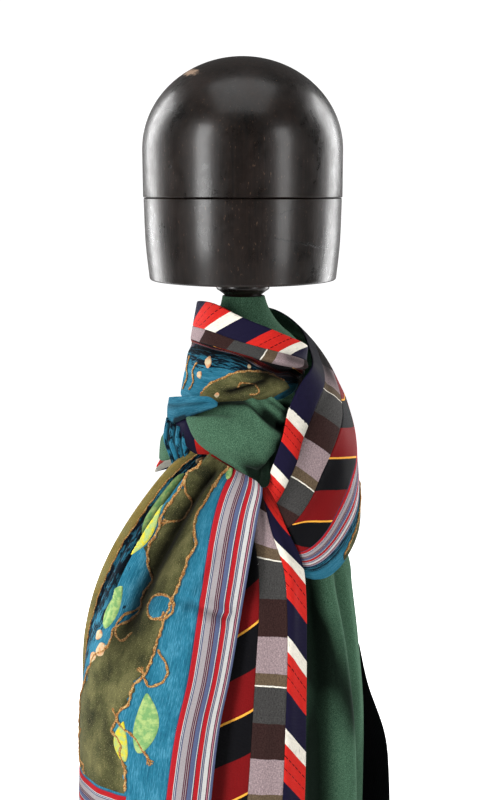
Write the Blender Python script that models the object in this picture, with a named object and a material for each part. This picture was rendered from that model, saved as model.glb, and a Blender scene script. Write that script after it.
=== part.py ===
"""Patchwork cravat wound and tied round the neck of a hat block stand.

The stand is turned wood: a two-part hat block on a post with a round foot.
The cravat is one long scarf, sewn from five lengthwise strips and lined in
plain green.  It goes once round the post as a collar, sweeps out into a wide
loop on the wearer's left, and is knotted in front, where one end hangs down
with its strips outward and the other hangs beside it with the lining outward.

Lengths are in millimetres until a mesh is made.  X is to the right, Y to the
back and Z up, and the origin is on the floor under the middle of the post.
"""

import math
from collections import namedtuple

import bmesh
import bpy
import numpy as np

MM = 0.001
CLOTH = 1.6  # wall of the sewn strips with their lining
SEAM = 0.3  # gap between two strips, and between any two pieces that touch
STEP = 1e-3  # share of a stretch used to measure its slope
LEAST_BOW = 0.02
FADE = 0.22  # share of a crease over which it rises and dies away
SLANT = 0.85  # half a seam gap as measured across a slanting strip, in gaps

# The hat block, a 58 cm size: half sizes across and in depth, and its heights.
BLOCK_HALF_WIDTH = 86.5
BLOCK_HALF_DEPTH = 98.0
BLOCK_FOOT_HALF_WIDTH = 82.0
BLOCK_FOOT_Z = 683.5
BLOCK_JOINT_Z = 754.0
BLOCK_SPRING_Z = 794.0
BLOCK_TOP_Z = 872.0
BLOCK_SWELL_HALF_WIDTH = 84.9
BLOCK_SWELL_Z = 715.5
BLOCK_EDGE = 2.0
BLOCK_ARRIS = 0.8
BLOCK_STEP = 0.5  # how far the band stands back from the crown at the joint
CROWN_ARC = 84  # degrees of quarter-round before the crown's small flat top
BLOCK_SIDES = 40

# The stand under it.
FOOT_RADIUS = 160.0
FOOT_HEIGHT = 24.0
FOOT_EDGE = 8.0
FOOT_ARRIS = 2.0
FOOT_SIDES = 40
POST_RADIUS = 13.0
POST_SIDES = 20

HEM_Z = 62.0

WOOD = ((0.055, 0.047, 0.042), 0.38)
GREEN = ((0.035, 0.085, 0.055), 0.85)
TEAL = ((0.03, 0.17, 0.24), 0.85)
RIBBON = ((0.33, 0.30, 0.38), 0.80)
BURGUNDY = ((0.17, 0.012, 0.016), 0.70)
GREY = ((0.13, 0.11, 0.11), 0.85)
NAVY = ((0.02, 0.018, 0.045), 0.75)

# Strips of the scarf, from its upper edge to its lower one.
STRIPS = {
    "club_stripe": NAVY,
    "grey_block": GREY,
    "burgundy": BURGUNDY,
    "ribbon": RIBBON,
    "applique": TEAL,
}

# One section across a stretch of cloth: its two edges and how far it bows out.
Section = namedtuple("Section", "ax ay az bx by bz bow")
# The same, wound about the post: turn is clockwise from the right, in degrees.
Wound = namedtuple("Wound", "turn top_r top_z lead low_r low_z bow")
# Where each strip but the last ends, as shares of a section's width.
Seams = namedtuple("Seams", "club grey burgundy ribbon")
# A crease from (u0, v0) to (u1, v1), shares along and across a stretch.
Fold = namedtuple("Fold", "u0 v0 u1 v1 left right height")
# A level of a ring round the post.
Ring = namedtuple("Ring", "z cx rx ry")
# A level of a turned piece.
Turned = namedtuple("Turned", "r z")

# The post's profile: a ring at the foot, a plain shaft, the swell that the
# collar sits on, and a bead under the block.
POST = [
    Turned(15, FOOT_HEIGHT + SEAM),
    Turned(21, FOOT_HEIGHT + SEAM + 1),
    Turned(21, 30),
    Turned(16, 34),
    Turned(18, 42),
    Turned(15, 49),
    Turned(POST_RADIUS, 58),
    Turned(POST_RADIUS, 470),
    Turned(14, 530),
    Turned(18, 575),
    Turned(23, 605),
    Turned(26, 625),
    Turned(26, 636),
    Turned(22, 645),
    Turned(16, 653),
    Turned(14, 660),
    Turned(15, 668),
    Turned(17, 670.2),
    Turned(20, 672.5),
    Turned(23, 674.5),
    Turned(24, 677),
    Turned(23, 680),
    Turned(21, 681.5),
    Turned(20, BLOCK_FOOT_Z - SEAM),
]

# The wound stretch, from its start under the loop, once round the post, out
# into the loop on the right and down into the knot.
WOUND = [
    Wound(9, 50.6, 620, -2, 40.0, 594, 2),
    Wound(28, 62.5, 629, 1, 51.5, 592, 3),
    Wound(58, 53.0, 643, 0, 56.6, 588, 4),
    Wound(92, 45.0, 655, 0, 54.0, 585, 5),
    Wound(126, 43.0, 661, 5, 58.0, 583, 3),
    Wound(165, 41.0, 660, 2, 57.0, 582, 1),
    Wound(200, 40.0, 663, 0, 57.0, 586, 1),
    Wound(235, 39.5, 668, -1, 56.0, 594, 3),
    Wound(270, 42.0, 668, -5, 56.0, 600, 5),
    Wound(311, 45.3, 664, 2, 76.4, 592, 6),
    Wound(345, 53.9, 650, -11, 102.0, 560, 10),
    Wound(362, 60.0, 629, -14, 104.0, 522, 12),
    Wound(385, 67.0, 611, -25, 106.0, 485, 12),
    Wound(404, 69.0, 597, -34, 105.5, 458, 12),
    Wound(417, 72.5, 578, -37, 98.0, 436, 10),
    Wound(424, 78.0, 557, -35, 88.8, 424, 8),
    Wound(431, 74.5, 528, -33, 82.0, 423, 6),
    Wound(433, 58.5, 505, -29, 75.0, 426, 4),
    Wound(435, 50.0, 491, -27, 67.0, 430, 3),
]
WOUND_SEAMS = [
    Seams(0.30, 0.49, 0.64, 0.74),
    Seams(0.30, 0.49, 0.64, 0.74),
    Seams(0.29, 0.49, 0.63, 0.70),
    Seams(0.28, 0.45, 0.52, 0.58),
    Seams(0.27, 0.41, 0.48, 0.54),
    Seams(0.26, 0.40, 0.48, 0.56),
    Seams(0.25, 0.41, 0.51, 0.60),
    Seams(0.24, 0.42, 0.54, 0.66),
    Seams(0.22, 0.42, 0.58, 0.74),
    Seams(0.20, 0.41, 0.62, 0.82),
    Seams(0.18, 0.40, 0.64, 0.86),
    Seams(0.17, 0.40, 0.66, 0.88),
    Seams(0.17, 0.40, 0.66, 0.88),
    Seams(0.17, 0.41, 0.66, 0.87),
    Seams(0.18, 0.42, 0.68, 0.86),
    Seams(0.19, 0.44, 0.70, 0.86),
    Seams(0.20, 0.45, 0.71, 0.87),
    Seams(0.20, 0.45, 0.71, 0.87),
    Seams(0.20, 0.45, 0.71, 0.87),
]
WOUND_LENGTH = 640.0
WOUND_WIDTH = 100.0
WRAP_END_TURN = 252.0  # where the neck wrap becomes the loop, at the back

# The scarf's front end: its left part ends at the ribbon's right edge.
FRONT_LEFT = [
    Section(-30, -42, 556, 13, -58, 527, 2),
    Section(-42, -41, 540, 17, -65, 509, 3),
    Section(-66, -33, 512, 13, -74, 486, 12),
    Section(-92, -16, 461, 5, -81, 440, 24),
    Section(-114, 2, 410, -2, -85, 398, 36),
    Section(-128, 18, 356, -10, -87, 350, 46),
    Section(-135, 28, 300, -20, -88, 300, 52),
    Section(-138, 34, 240, -27, -88, 240, 56),
    Section(-140, 38, 186, -32, -87, 186, 58),
    Section(-140, 40, 120, -36, -85, 120, 59),
    Section(-140, 40, HEM_Z, -40, -84, HEM_Z, 60),
]
FRONT_LEFT_SEAMS = [0.66, 0.68, 0.72, 0.75, 0.77, 0.785, 0.79, 0.795, 0.80, 0.805, 0.81]
FRONT_LEFT_LENGTH = 520.0
FRONT_LEFT_WIDTH = 180.0

# Its right part starts behind the ribbon, in a pleat.
FRONT_RIGHT = [
    Section(-4, -57.2, 518, 19, -63.2, 501, 2),
    Section(-8, -63, 486, 38, -63.2, 474, 5),
    Section(-16, -71, 440, 52, -59.2, 442, 9),
    Section(-24, -76, 398, 56, -58, 408, 12),
    Section(-34, -77, 350, 57, -56, 352, 14),
    Section(-44, -77, 300, 57, -56, 300, 15),
    Section(-52, -77, 240, 57, -54, 240, 16),
    Section(-58, -76, 186, 56, -53, 186, 16),
    Section(-62, -75, 120, 56, -52, 120, 16),
    Section(-66, -73, HEM_Z, 56, -51.6, HEM_Z, 16),
]
FRONT_RIGHT_SEAMS = [
    (0.40, 0.70),
    (0.40, 0.70),
    (0.43, 0.72),
    (0.46, 0.74),
    (0.48, 0.76),
    (0.50, 0.77),
    (0.50, 0.77),
    (0.49, 0.76),
    (0.48, 0.75),
    (0.47, 0.75),
]
FRONT_RIGHT_LENGTH = 470.0
FRONT_RIGHT_WIDTH = 115.0

# The scarf's back end hangs behind it with the lining outward.
BACK_TAIL = [
    Section(22, -22, 548, 54.8, 37.4, 548, 10),
    Section(26, -28, 500, 50, 30, 500, 22),
    Section(36, -38, 440, 50, 36, 440, 48),
    Section(40, -44, 400, 46, 46, 400, 54),
    Section(44, -48, 340, 38, 58, 340, 64),
    Section(46, -49, 270, 30, 66, 270, 74),
    Section(48, -48, 200, 24, 72, 200, 78),
    Section(48, -48, 130, 20, 75, 130, 80),
    Section(48, -48, HEM_Z, 20, 75, HEM_Z, 80),
]
BACK_TAIL_LENGTH = 425.0
BACK_TAIL_WIDTH = 240.0

# A folded edge of the burgundy strip that shows behind the back end.
UNDERLAP = [
    Section(84, 52, 330, 112, 28, 330, 2),
    Section(91, 55, 290, 121, 26, 290, 3),
    Section(96.5, 56.5, 240, 138, 22, 240, 4),
    Section(99.5, 58.5, 190, 143, 20, 190, 5),
    Section(100.3, 59.4, 120, 145, 18, 120, 5),
    Section(100.3, 59.4, HEM_Z, 146, 17, HEM_Z, 5),
]

# The knot, from its left end under the tucked band to its right end in the loop.
KNOT = [
    Section(-52, -36, 572, -50, -36, 557, 4),
    Section(-40, -47, 577, -40, -51, 546, 7),
    Section(-20, -53, 582.8, -20, -62, 535, 13),
    Section(0, -54, 584.2, 0, -68, 524, 14),
    Section(16, -54, 585.2, 17, -70, 511, 12),
    Section(26, -52, 585.8, 22, -64, 532, 9),
    Section(35, -46, 584, 31, -57, 544, 7),
    Section(46, -38, 582, 44, -46, 556, 5),
]
KNOT_LENGTH = 105.0
KNOT_WIDTH = 75.0

# A turned edge of the club stripe that shows under the knot.
KNOT_EDGE = [
    Section(-50, -31, 566, -51, -34, 549, 1),
    Section(-41, -43, 558, -42, -47, 538, 1),
    Section(-28, -52, 548, -29, -57, 533, 1),
    Section(-14, -57.5, 540, -15, -63, 527.5, 1),
    Section(-4, -60, 534, -5, -66, 522, 1),
    Section(2, -61, 530, 1, -67, 519.5, 1),
]

# A plain teal band, folded over the left end of the knot.
TEAL_TUCK = [
    Section(-68, -10, 574, -68, -10, 556, 2),
    Section(-63, -30, 583, -63, -30, 553, 4),
    Section(-52.6, -46.6, 587, -52.6, -46.6, 557, 5),
    Section(-42, -58.5, 589, -42, -58.5, 568, 4),
    Section(-31, -64, 588, -31, -65, 575, 3),
    Section(-24, -64, 584, -24, -65, 580, 1),
]

# The green band that runs from the knot round the left and the back.
BACK_WRAP = [
    Wound(140, 50, 562, 0, 52.0, 538, 2),
    Wound(152, 53, 566, 0, 62.0, 530, 4),
    Wound(168, 56, 566, 0, 73.0, 522, 5),
    Wound(185, 57, 568, 0, 77.0, 520, 5),
    Wound(205, 57, 572, 0, 76.0, 522, 5),
    Wound(235, 55, 584, 0, 70.0, 536, 5),
    Wound(268, 52, 592, 0, 66.0, 550, 5),
    Wound(300, 54, 594, 0, 68.0, 548, 5),
    Wound(326, 56, 590, 0, 68.0, 538, 5),
]

# A gathered strand between that band and the knot.
SIDE_STRAND = [
    Section(-66.5, -16.9, 551, -50, -43, 555, 2),
    Section(-68.8, -20.2, 541, -53, -42, 545, 2),
    Section(-63.5, -27.7, 530, -53, -41, 537, 2),
]

# A corner of the club stripe that hangs below the band on the left.
LEFT_CORNER = [
    Section(-76, 0, 519, -71, 26, 520, 1),
    Section(-80, 4, 512, -69, 30, 512, 1),
    Section(-82, 10, 506, -68, 32, 504, 1),
]

# The inner turn of lining that shows above the wrap.
COLLAR = [
    Ring(669, 0.5, 18.6, 18.2),
    Ring(660, 1.0, 21.0, 20.5),
    Ring(650, 2.0, 25.5, 24.5),
    Ring(641, 3.0, 32.0, 30.0),
    Ring(632, 4.5, 41.0, 40.0),
    Ring(623, 6.8, 46.4, 44.0),
]


def at_turn(turn):
    """Share of the wound stretch at which its upper edge has come to a turn."""
    turns = [row.turn for row in WOUND]
    return float(np.interp(turn, turns, np.linspace(0.0, 1.0, len(turns))))


WOUND_FOLDS = [
    Fold(at_turn(22), 0.41, at_turn(84), 0.43, 11, 9, 6),
    Fold(at_turn(20), 0.60, at_turn(78), 0.58, 12, 13, -7),
    Fold(at_turn(75), 0.50, at_turn(190), 0.50, 5, 7, -5),
    Fold(at_turn(60), 0.86, at_turn(120), 0.87, 4, 4, 3),
]
FRONT_LEFT_FOLDS = [
    Fold(0.02, 0.30, 0.34, 0.30, 6, 6, 4),
    Fold(0.06, 0.62, 0.44, 0.48, 5, 22, 7),
    Fold(0.10, 0.70, 0.50, 0.57, 10, 12, -6),
    Fold(0.40, 0.36, 0.98, 0.40, 26, 30, 6),
]
FRONT_RIGHT_FOLDS = [
    Fold(0.05, 0.80, 0.95, 0.82, 10, 8, 4),
    Fold(0.05, 0.34, 0.98, 0.30, 10, 10, -3),
]
BACK_TAIL_FOLDS = [
    Fold(0.10, 0.36, 1.05, 0.30, 12, 12, -6),
    Fold(0.15, 0.52, 1.05, 0.48, 12, 12, 4),
    Fold(0.05, 0.74, 1.05, 0.72, 14, 14, -6),
]
KNOT_FOLDS = [
    Fold(0.50, 0.08, 0.92, 0.60, 4, 6, -4),
    Fold(0.46, 0.90, 0.72, 0.62, 6, 8, -4),
    Fold(0.10, 0.30, 0.46, 0.26, 7, 7, -3),
]


def wound(rows):
    """Sections from rows that are given as turns about the post."""
    made = []
    for row in rows:
        top = math.radians(row.turn)
        low = math.radians(row.turn + row.lead)
        made.append(
            Section(
                row.top_r * math.cos(top),
                -row.top_r * math.sin(top),
                row.top_z,
                row.low_r * math.cos(low),
                -row.low_r * math.sin(low),
                row.low_z,
                row.bow,
            )
        )
    return made


def smooth_rows(rows, share):
    """Values at the given shares of a table, on a smooth curve through its rows."""
    table = np.array(rows, dtype=float)
    if table.ndim == 1:
        table = table[:, None]
    last = len(table) - 1
    place = np.clip(share, 0.0, 1.0) * last
    start = np.minimum(place.astype(int), last - 1)
    t = (place - start)[:, None]
    p0 = table[np.maximum(start - 1, 0)]
    p1 = table[start]
    p2 = table[start + 1]
    p3 = table[np.minimum(start + 2, last)]
    slope = p2 - p0
    bend = 2 * p0 - 5 * p1 + 4 * p2 - p3
    twist = 3 * p1 - p0 - 3 * p2 + p3
    return 0.5 * (2 * p1 + slope * t + bend * t**2 + twist * t**3)


def unit(vectors):
    """Vectors of length one."""
    size = np.linalg.norm(vectors, axis=-1, keepdims=True)
    return vectors / np.maximum(size, 1e-9)


def plain_form(sections, u, v):
    """Points of a stretch without its creases: each section is an arc between its edges."""
    row = smooth_rows(sections, u)
    a = row[:, 0:3]
    b = row[:, 3:6]
    bow = np.maximum(row[:, 6], LEAST_BOW)
    width = np.linalg.norm(b - a, axis=1)
    across = unit(b - a)
    middle = (a + b) / 2
    out = middle * (1.0, 1.0, 0.0)
    out = unit(out - across * np.sum(out * across, axis=1, keepdims=True))
    radius = (width**2 / 4 + bow**2) / (2 * bow)
    angle = (2 * v - 1) * 2 * np.arctan2(2 * bow, width)
    side = (radius * np.sin(angle))[:, None]
    rise = (radius * np.cos(angle) - radius + bow)[:, None]
    return middle + across * side + out * rise


def ring_form(rings, u, v):
    """Points of a closed ring round the post: u is its turn and v its level."""
    row = smooth_rows(rings, v)
    angle = 2 * math.pi * u
    x = row[:, 1] + row[:, 2] * np.cos(angle)
    y = row[:, 3] * np.sin(angle)
    return np.stack([x, y, row[:, 0]], axis=1)


def normals(place, u, v):
    """Directions away from the post, square to the surface that place() gives."""
    along = place(u + STEP, v) - place(u - STEP, v)
    across = place(u, v + STEP) - place(u, v - STEP)
    square = unit(np.cross(along, across))
    out = place(u, v) * (1.0, 1.0, 0.0)
    if np.sum(square * out) < 0:
        square = -square
    return square


def ease(value):
    """Rises smoothly from 0 to 1."""
    value = np.clip(value, 0.0, 1.0)
    return value * value * (3 - 2 * value)


def relief(folds, length, width, u, v):
    """How far the creases lift a surface."""
    lift = np.zeros_like(u)
    for fold in folds:
        run = np.array([(fold.u1 - fold.u0) * length, (fold.v1 - fold.v0) * width])
        reach = math.hypot(*run)
        run = run / reach
        du = (u - fold.u0) * length
        dv = (v - fold.v0) * width
        share = (du * run[0] + dv * run[1]) / reach
        off = dv * run[0] - du * run[1]
        size = np.where(off < 0, fold.left, fold.right)
        ends = ease(share / FADE) * ease((1 - share) / FADE)
        lift = lift + fold.height * ends * np.exp(-((off / size) ** 2))
    return lift


class Cloth:
    """A stretch of cloth: where its outer side is, at shares along and across it."""

    def __init__(self, sections, folds=(), length=1.0, width=1.0, form=plain_form):
        self.sections = sections
        self.folds = folds
        self.length = length
        self.width = width
        self.form = form

    def plain(self, u, v):
        return self.form(self.sections, u, v)

    def outer(self, u, v):
        points = self.plain(u, v)
        if not self.folds:
            return points
        lift = relief(self.folds, self.length, self.width, u, v)
        return points + normals(self.plain, u, v) * lift[:, None]

    def width_at(self, u):
        """Length of the section at each share of the stretch."""
        steps = np.linspace(0.0, 1.0, 9)
        total = np.zeros_like(u)
        for low, high in zip(steps, steps[1:]):
            here = self.outer(u, np.full_like(u, low))
            there = self.outer(u, np.full_like(u, high))
            total = total + np.linalg.norm(there - here, axis=1)
        return total


def material(name, look):
    """A plain surface of one colour and roughness."""
    colour, roughness = look
    made = bpy.data.materials.get(name)
    if made is None:
        made = bpy.data.materials.new(name)
        made.use_nodes = True
        shader = made.node_tree.nodes["Principled BSDF"]
        shader.inputs["Base Color"].default_value = (*colour, 1.0)
        shader.inputs["Roughness"].default_value = roughness
        shader.inputs["Metallic"].default_value = 0.0
        made.diffuse_color = (*colour, 1.0)
    return made


def add_object(name, points, faces, finish, look):
    """A closed, smooth-shaded body from points in millimetres."""
    mesh = bpy.data.meshes.new(name)
    mesh.from_pydata((np.array(points) * MM).tolist(), [], faces)
    body = bmesh.new()
    body.from_mesh(mesh)
    bmesh.ops.recalc_face_normals(body, faces=body.faces)
    body.to_mesh(mesh)
    body.free()
    mesh.shade_smooth()
    mesh.set_sharp_from_angle(angle=math.radians(50))
    mesh.materials.append(material(finish, look))
    made = bpy.data.objects.new(name, mesh)
    bpy.context.collection.objects.link(made)
    return made


def grid_faces(rows, columns, closed):
    """Quads of a wall: outer grid, inner grid after it, and the edges that join them."""
    count = rows * columns
    faces = []
    spans = rows if closed else rows - 1
    for i in range(spans):
        for j in range(columns - 1):
            a = i * columns + j
            b = (i + 1) % rows * columns + j
            faces.append((a, b, b + 1, a + 1))
            faces.append((count + a, count + a + 1, count + b + 1, count + b))
    border = []
    for i in range(spans):
        a = i * columns
        b = (i + 1) % rows * columns
        border.append((a, b))
        border.append((b + columns - 1, a + columns - 1))
    if not closed:
        for j in range(columns - 1):
            border.append((j + 1, j))
            border.append(((rows - 1) * columns + j, (rows - 1) * columns + j + 1))
    for a, b in border:
        faces.append((b, a, count + a, count + b))
    return faces


def cloth_wall(name, cloth, u, v, finish, look, closed=False):
    """A wall of cloth over a grid: u is a list, v gives the values at each u."""
    columns = v.shape[1]
    flat_u = np.repeat(u, columns)
    flat_v = v.ravel()
    outer = cloth.outer(flat_u, flat_v)
    inner = outer - normals(cloth.outer, flat_u, flat_v) * CLOTH
    faces = grid_faces(len(u), columns, closed)
    return add_object(name, np.concatenate([outer, inner]), faces, finish, look)


def between(low, high, steps):
    """A grid of values across, one row for each pair of limits."""
    share = np.linspace(0.0, 1.0, steps + 1)
    return low[:, None] + (high - low)[:, None] * share


def strips(prefix, cloth, u, seams, names, steps):
    """The strips of a stretch, parted by a seam gap."""
    shares = smooth_rows(seams, u)
    gap = SEAM * SLANT / cloth.width_at(u)
    for place, name in enumerate(names):
        low = shares[:, place - 1] + gap if place else np.zeros_like(u)
        high = shares[:, place] - gap if place < len(names) - 1 else np.ones_like(u)
        across = between(low, high, steps[place])
        cloth_wall(f"{prefix}_{name}", cloth, u, across, name, STRIPS[name])


def turned(name, rows, sides, widths, finish, look):
    """A closed turned body; widths scale it across and in depth."""
    points = [(0.0, 0.0, rows[0].z)]
    for row in rows:
        for side in range(sides):
            angle = 2 * math.pi * side / sides
            x = row.r * widths[0] * math.cos(angle)
            y = row.r * widths[1] * math.sin(angle)
            points.append((x, y, row.z))
    points.append((0.0, 0.0, rows[-1].z))
    faces = []
    for side in range(sides):
        after = (side + 1) % sides
        faces.append((0, 1 + after, 1 + side))
        for level in range(len(rows) - 1):
            start = 1 + level * sides
            faces.append((start + side, start + after, start + sides + after, start + sides + side))
        start = 1 + (len(rows) - 1) * sides
        faces.append((start + side, start + after, len(points) - 1))
    return add_object(name, points, faces, finish, look)


def arc(centre_r, centre_z, radius_r, radius_z, start, end, steps):
    """Levels of a turned piece on a quarter-round, by its angles in degrees."""
    made = []
    for step in range(steps + 1):
        angle = math.radians(start + (end - start) * step / steps)
        made.append(
            Turned(centre_r + radius_r * math.cos(angle), centre_z + radius_z * math.sin(angle))
        )
    return made


def hat_block():
    """The crown and the band below it, oval in plan."""
    oval = (1.0, BLOCK_HALF_DEPTH / BLOCK_HALF_WIDTH)
    dome = BLOCK_TOP_Z - BLOCK_SPRING_Z
    above = BLOCK_JOINT_Z + SEAM / 2
    below = BLOCK_JOINT_Z - SEAM / 2
    crown = [
        Turned(BLOCK_HALF_WIDTH - BLOCK_ARRIS, above),
        Turned(BLOCK_HALF_WIDTH, above + BLOCK_ARRIS),
    ]
    crown += arc(0, BLOCK_SPRING_Z, BLOCK_HALF_WIDTH, dome, 0, CROWN_ARC, 12)
    turned("block_crown", crown, BLOCK_SIDES, oval, "block_wood", WOOD)
    edge_r = BLOCK_FOOT_HALF_WIDTH - BLOCK_EDGE
    band = [Turned(edge_r, BLOCK_FOOT_Z)]
    band += arc(edge_r, BLOCK_FOOT_Z + BLOCK_EDGE, BLOCK_EDGE, BLOCK_EDGE, -60, 0, 2)
    band += [
        Turned(BLOCK_SWELL_HALF_WIDTH, BLOCK_SWELL_Z),
        Turned(BLOCK_HALF_WIDTH - BLOCK_STEP, below - BLOCK_ARRIS),
        Turned(BLOCK_HALF_WIDTH - BLOCK_STEP - BLOCK_ARRIS, below),
    ]
    turned("block_band", band, BLOCK_SIDES, oval, "block_wood", WOOD)


def stand():
    """The turned post with its swell inside the wrap, and the round foot."""
    turned("stand_post", POST, POST_SIDES, (1.0, 1.0), "stand_wood", WOOD)
    foot = [Turned(FOOT_RADIUS - FOOT_ARRIS, 0.0), Turned(FOOT_RADIUS, FOOT_ARRIS)]
    foot += arc(FOOT_RADIUS - FOOT_EDGE, FOOT_HEIGHT - FOOT_EDGE, FOOT_EDGE, FOOT_EDGE, 0, 90, 4)
    turned("stand_foot", foot, FOOT_SIDES, (1.0, 1.0), "stand_wood", WOOD)


def collar():
    """The inner turn of lining round the top of the post."""
    cloth = Cloth(COLLAR, form=ring_form)
    sides = 28
    u = np.arange(sides) / sides
    v = between(np.zeros(sides), np.ones(sides), 5)
    cloth_wall("collar", cloth, u, v, "green_lining", GREEN, closed=True)


def wrap_and_loop():
    """The wound stretch, in two lengths of five strips each."""
    cloth = Cloth(wound(WOUND), WOUND_FOLDS, WOUND_LENGTH, WOUND_WIDTH)
    names = list(STRIPS)
    cut = at_turn(WRAP_END_TURN)
    gap = SEAM / 2 / WOUND_LENGTH
    u = np.linspace(0.0, cut - gap, 27)
    strips("wrap", cloth, u, WOUND_SEAMS, names, (3, 3, 2, 1, 4))
    u = np.linspace(cut + gap, 1.0, 31)
    strips("loop", cloth, u, WOUND_SEAMS, names, (3, 3, 3, 3, 3))


def front_end():
    """The end that hangs in front with its strips outward, pleated at the ribbon."""
    cloth = Cloth(FRONT_LEFT, FRONT_LEFT_FOLDS, FRONT_LEFT_LENGTH, FRONT_LEFT_WIDTH)
    u = np.linspace(0.0, 1.0, 32)
    strips("front", cloth, u, FRONT_LEFT_SEAMS, ("applique", "ribbon"), (13, 3))
    cloth = Cloth(FRONT_RIGHT, FRONT_RIGHT_FOLDS, FRONT_RIGHT_LENGTH, FRONT_RIGHT_WIDTH)
    names = ("burgundy", "grey_block", "club_stripe")
    u = np.linspace(0.0, 1.0, 26)
    strips("front", cloth, u, FRONT_RIGHT_SEAMS, names, (4, 3, 3))


def sheet(name, sections, folds, size, steps, finish, look):
    """One plain stretch of cloth as a single wall."""
    cloth = Cloth(sections, folds, size[0], size[1])
    u = np.linspace(0.0, 1.0, steps[0] + 1)
    v = between(np.zeros_like(u), np.ones_like(u), steps[1])
    return cloth_wall(name, cloth, u, v, finish, look)


def knot_pieces():
    """The knot, what is tucked round it, and the bands that come out of it."""
    small = (1.0, 1.0)
    sheet("knot", KNOT, KNOT_FOLDS, (KNOT_LENGTH, KNOT_WIDTH), (16, 10), "green_lining", GREEN)
    sheet("knot_edge", KNOT_EDGE, (), small, (12, 2), "club_stripe", NAVY)
    sheet("teal_tuck", TEAL_TUCK, (), small, (12, 5), "teal_plain", TEAL)
    sheet("back_wrap", wound(BACK_WRAP), (), small, (22, 4), "green_lining", GREEN)
    sheet("side_strand", SIDE_STRAND, (), small, (5, 3), "teal_plain", TEAL)
    sheet("left_corner", LEFT_CORNER, (), small, (4, 3), "club_stripe", NAVY)


def back_end():
    """The end that hangs behind with its lining outward, and a strip's edge behind it."""
    size = (BACK_TAIL_LENGTH, BACK_TAIL_WIDTH)
    sheet("back_tail", BACK_TAIL, BACK_TAIL_FOLDS, size, (17, 18), "green_lining", GREEN)
    sheet("back_underlap", UNDERLAP, (), (1.0, 1.0), (12, 4), "burgundy", BURGUNDY)


def main():
    """Clears the scene and builds every piece."""
    for old in list(bpy.data.objects):
        bpy.data.objects.remove(old, do_unlink=True)
    hat_block()
    stand()
    collar()
    wrap_and_loop()
    front_end()
    knot_pieces()
    back_end()


main()
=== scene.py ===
"""Looks for the cravat on its hat block stand: cloth, yarn, wood and a small studio.

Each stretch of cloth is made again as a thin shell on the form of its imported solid,
strip by strip, with finer creases, turned edges and woven patterns, and the raised
work of the applique lies on it.  The stand's turned pieces are made again with a
smooth profile.

Lengths are in millimetres until a mesh is made.  X is to the right, Y to the back
and Z up, and the origin is on the floor under the middle of the post.
"""

import math
from collections import namedtuple

import bmesh
import bpy
import numpy as np
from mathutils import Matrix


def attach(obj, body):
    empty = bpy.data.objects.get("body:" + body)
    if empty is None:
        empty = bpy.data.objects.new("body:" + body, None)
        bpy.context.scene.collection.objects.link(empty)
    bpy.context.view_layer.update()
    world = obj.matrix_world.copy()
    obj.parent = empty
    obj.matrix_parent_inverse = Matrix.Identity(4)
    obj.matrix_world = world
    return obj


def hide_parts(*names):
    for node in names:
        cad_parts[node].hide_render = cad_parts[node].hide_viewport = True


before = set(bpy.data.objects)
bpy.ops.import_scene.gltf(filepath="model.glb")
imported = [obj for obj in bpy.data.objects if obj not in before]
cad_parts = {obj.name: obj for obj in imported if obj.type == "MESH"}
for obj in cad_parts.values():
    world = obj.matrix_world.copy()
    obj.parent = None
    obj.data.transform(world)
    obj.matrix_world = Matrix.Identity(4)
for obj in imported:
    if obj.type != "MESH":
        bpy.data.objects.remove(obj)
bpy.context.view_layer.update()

bl_info = {
    "name": "Patchwork cravat on a hat block",
    "version": (1, 0, 0),
    "blender": (4, 5, 0),
    "location": "3D View > Sidebar > Cravat",
    "description": "Makes the cloth, yarn, wood and studio of a cravat on its stand",
    "category": "Object",
}

MM = 0.001
CLOTH_UV = "cloth"
# name of the point attribute that holds the cloth's painted shade
PAINTED_SHADE_NAME = "crease"
STEP = 1e-3  # share of a stretch over which a direction is measured
LEAST_BOW = 0.02  # bow of a section that is as good as straight
FADE = 0.22  # share of a fold over which each of its ends rises
SEAM_GAP = 0.008  # half the slit between two strips that are sewn together
STRETCH_GAP = 0.06  # half the slit between the neck wrap and the loop
EDGE_DROPS = (0.45, 0.12)  # drop of the two rows at a turned edge, as shares of the thickness
EDGE_ROW = 0.4  # place of the row inside a turned edge, as a share of its width
SHARP_CLOTH = math.radians(60)  # cloth faces that meet at more than this have a sharp edge
SHARP_WOOD = math.radians(46)


def paint(red, green, blue):
    """A linear colour from three display values of 0 to 255."""
    made = []
    for value in (red, green, blue):
        share = value / 255
        made.append(share / 12.92 if share <= 0.04045 else ((share + 0.055) / 1.055) ** 2.4)
    return tuple(made)


# Rows of the cloth tables, of the same kinds as in the solids.  A section is an arc
# from edge a to edge b that bows out.  A wound row is one about the post: the turn of
# its top edge, that edge's radius and height, how far the low edge leads, and the same
# for that edge.  Seams are the shares across a stretch at which its strips end.  A fold
# is a ridge from u0, v0 to u1, v1, with its reach to both sides and its height, which
# is below zero for a crease.
Section = namedtuple("Section", "ax ay az bx by bz bow")
Wound = namedtuple("Wound", "turn top_r top_z lead low_r low_z bow")
Seams = namedtuple("Seams", "club grey burgundy ribbon")
Fold = namedtuple("Fold", "u0 v0 u1 v1 left right height")
Ring = namedtuple("Ring", "z cx rx ry")
Turned = namedtuple("Turned", "r z")
# A strip's finish and the width it was cut to.
Strip = namedtuple("Strip", "name width")
# How a pattern lies on a strip: millimetres of pattern to one of cloth along and
# across it, where it starts, and how much it is drawn out before that.
Lay = namedtuple("Lay", "along across start before", defaults=(1.0,))

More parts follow.
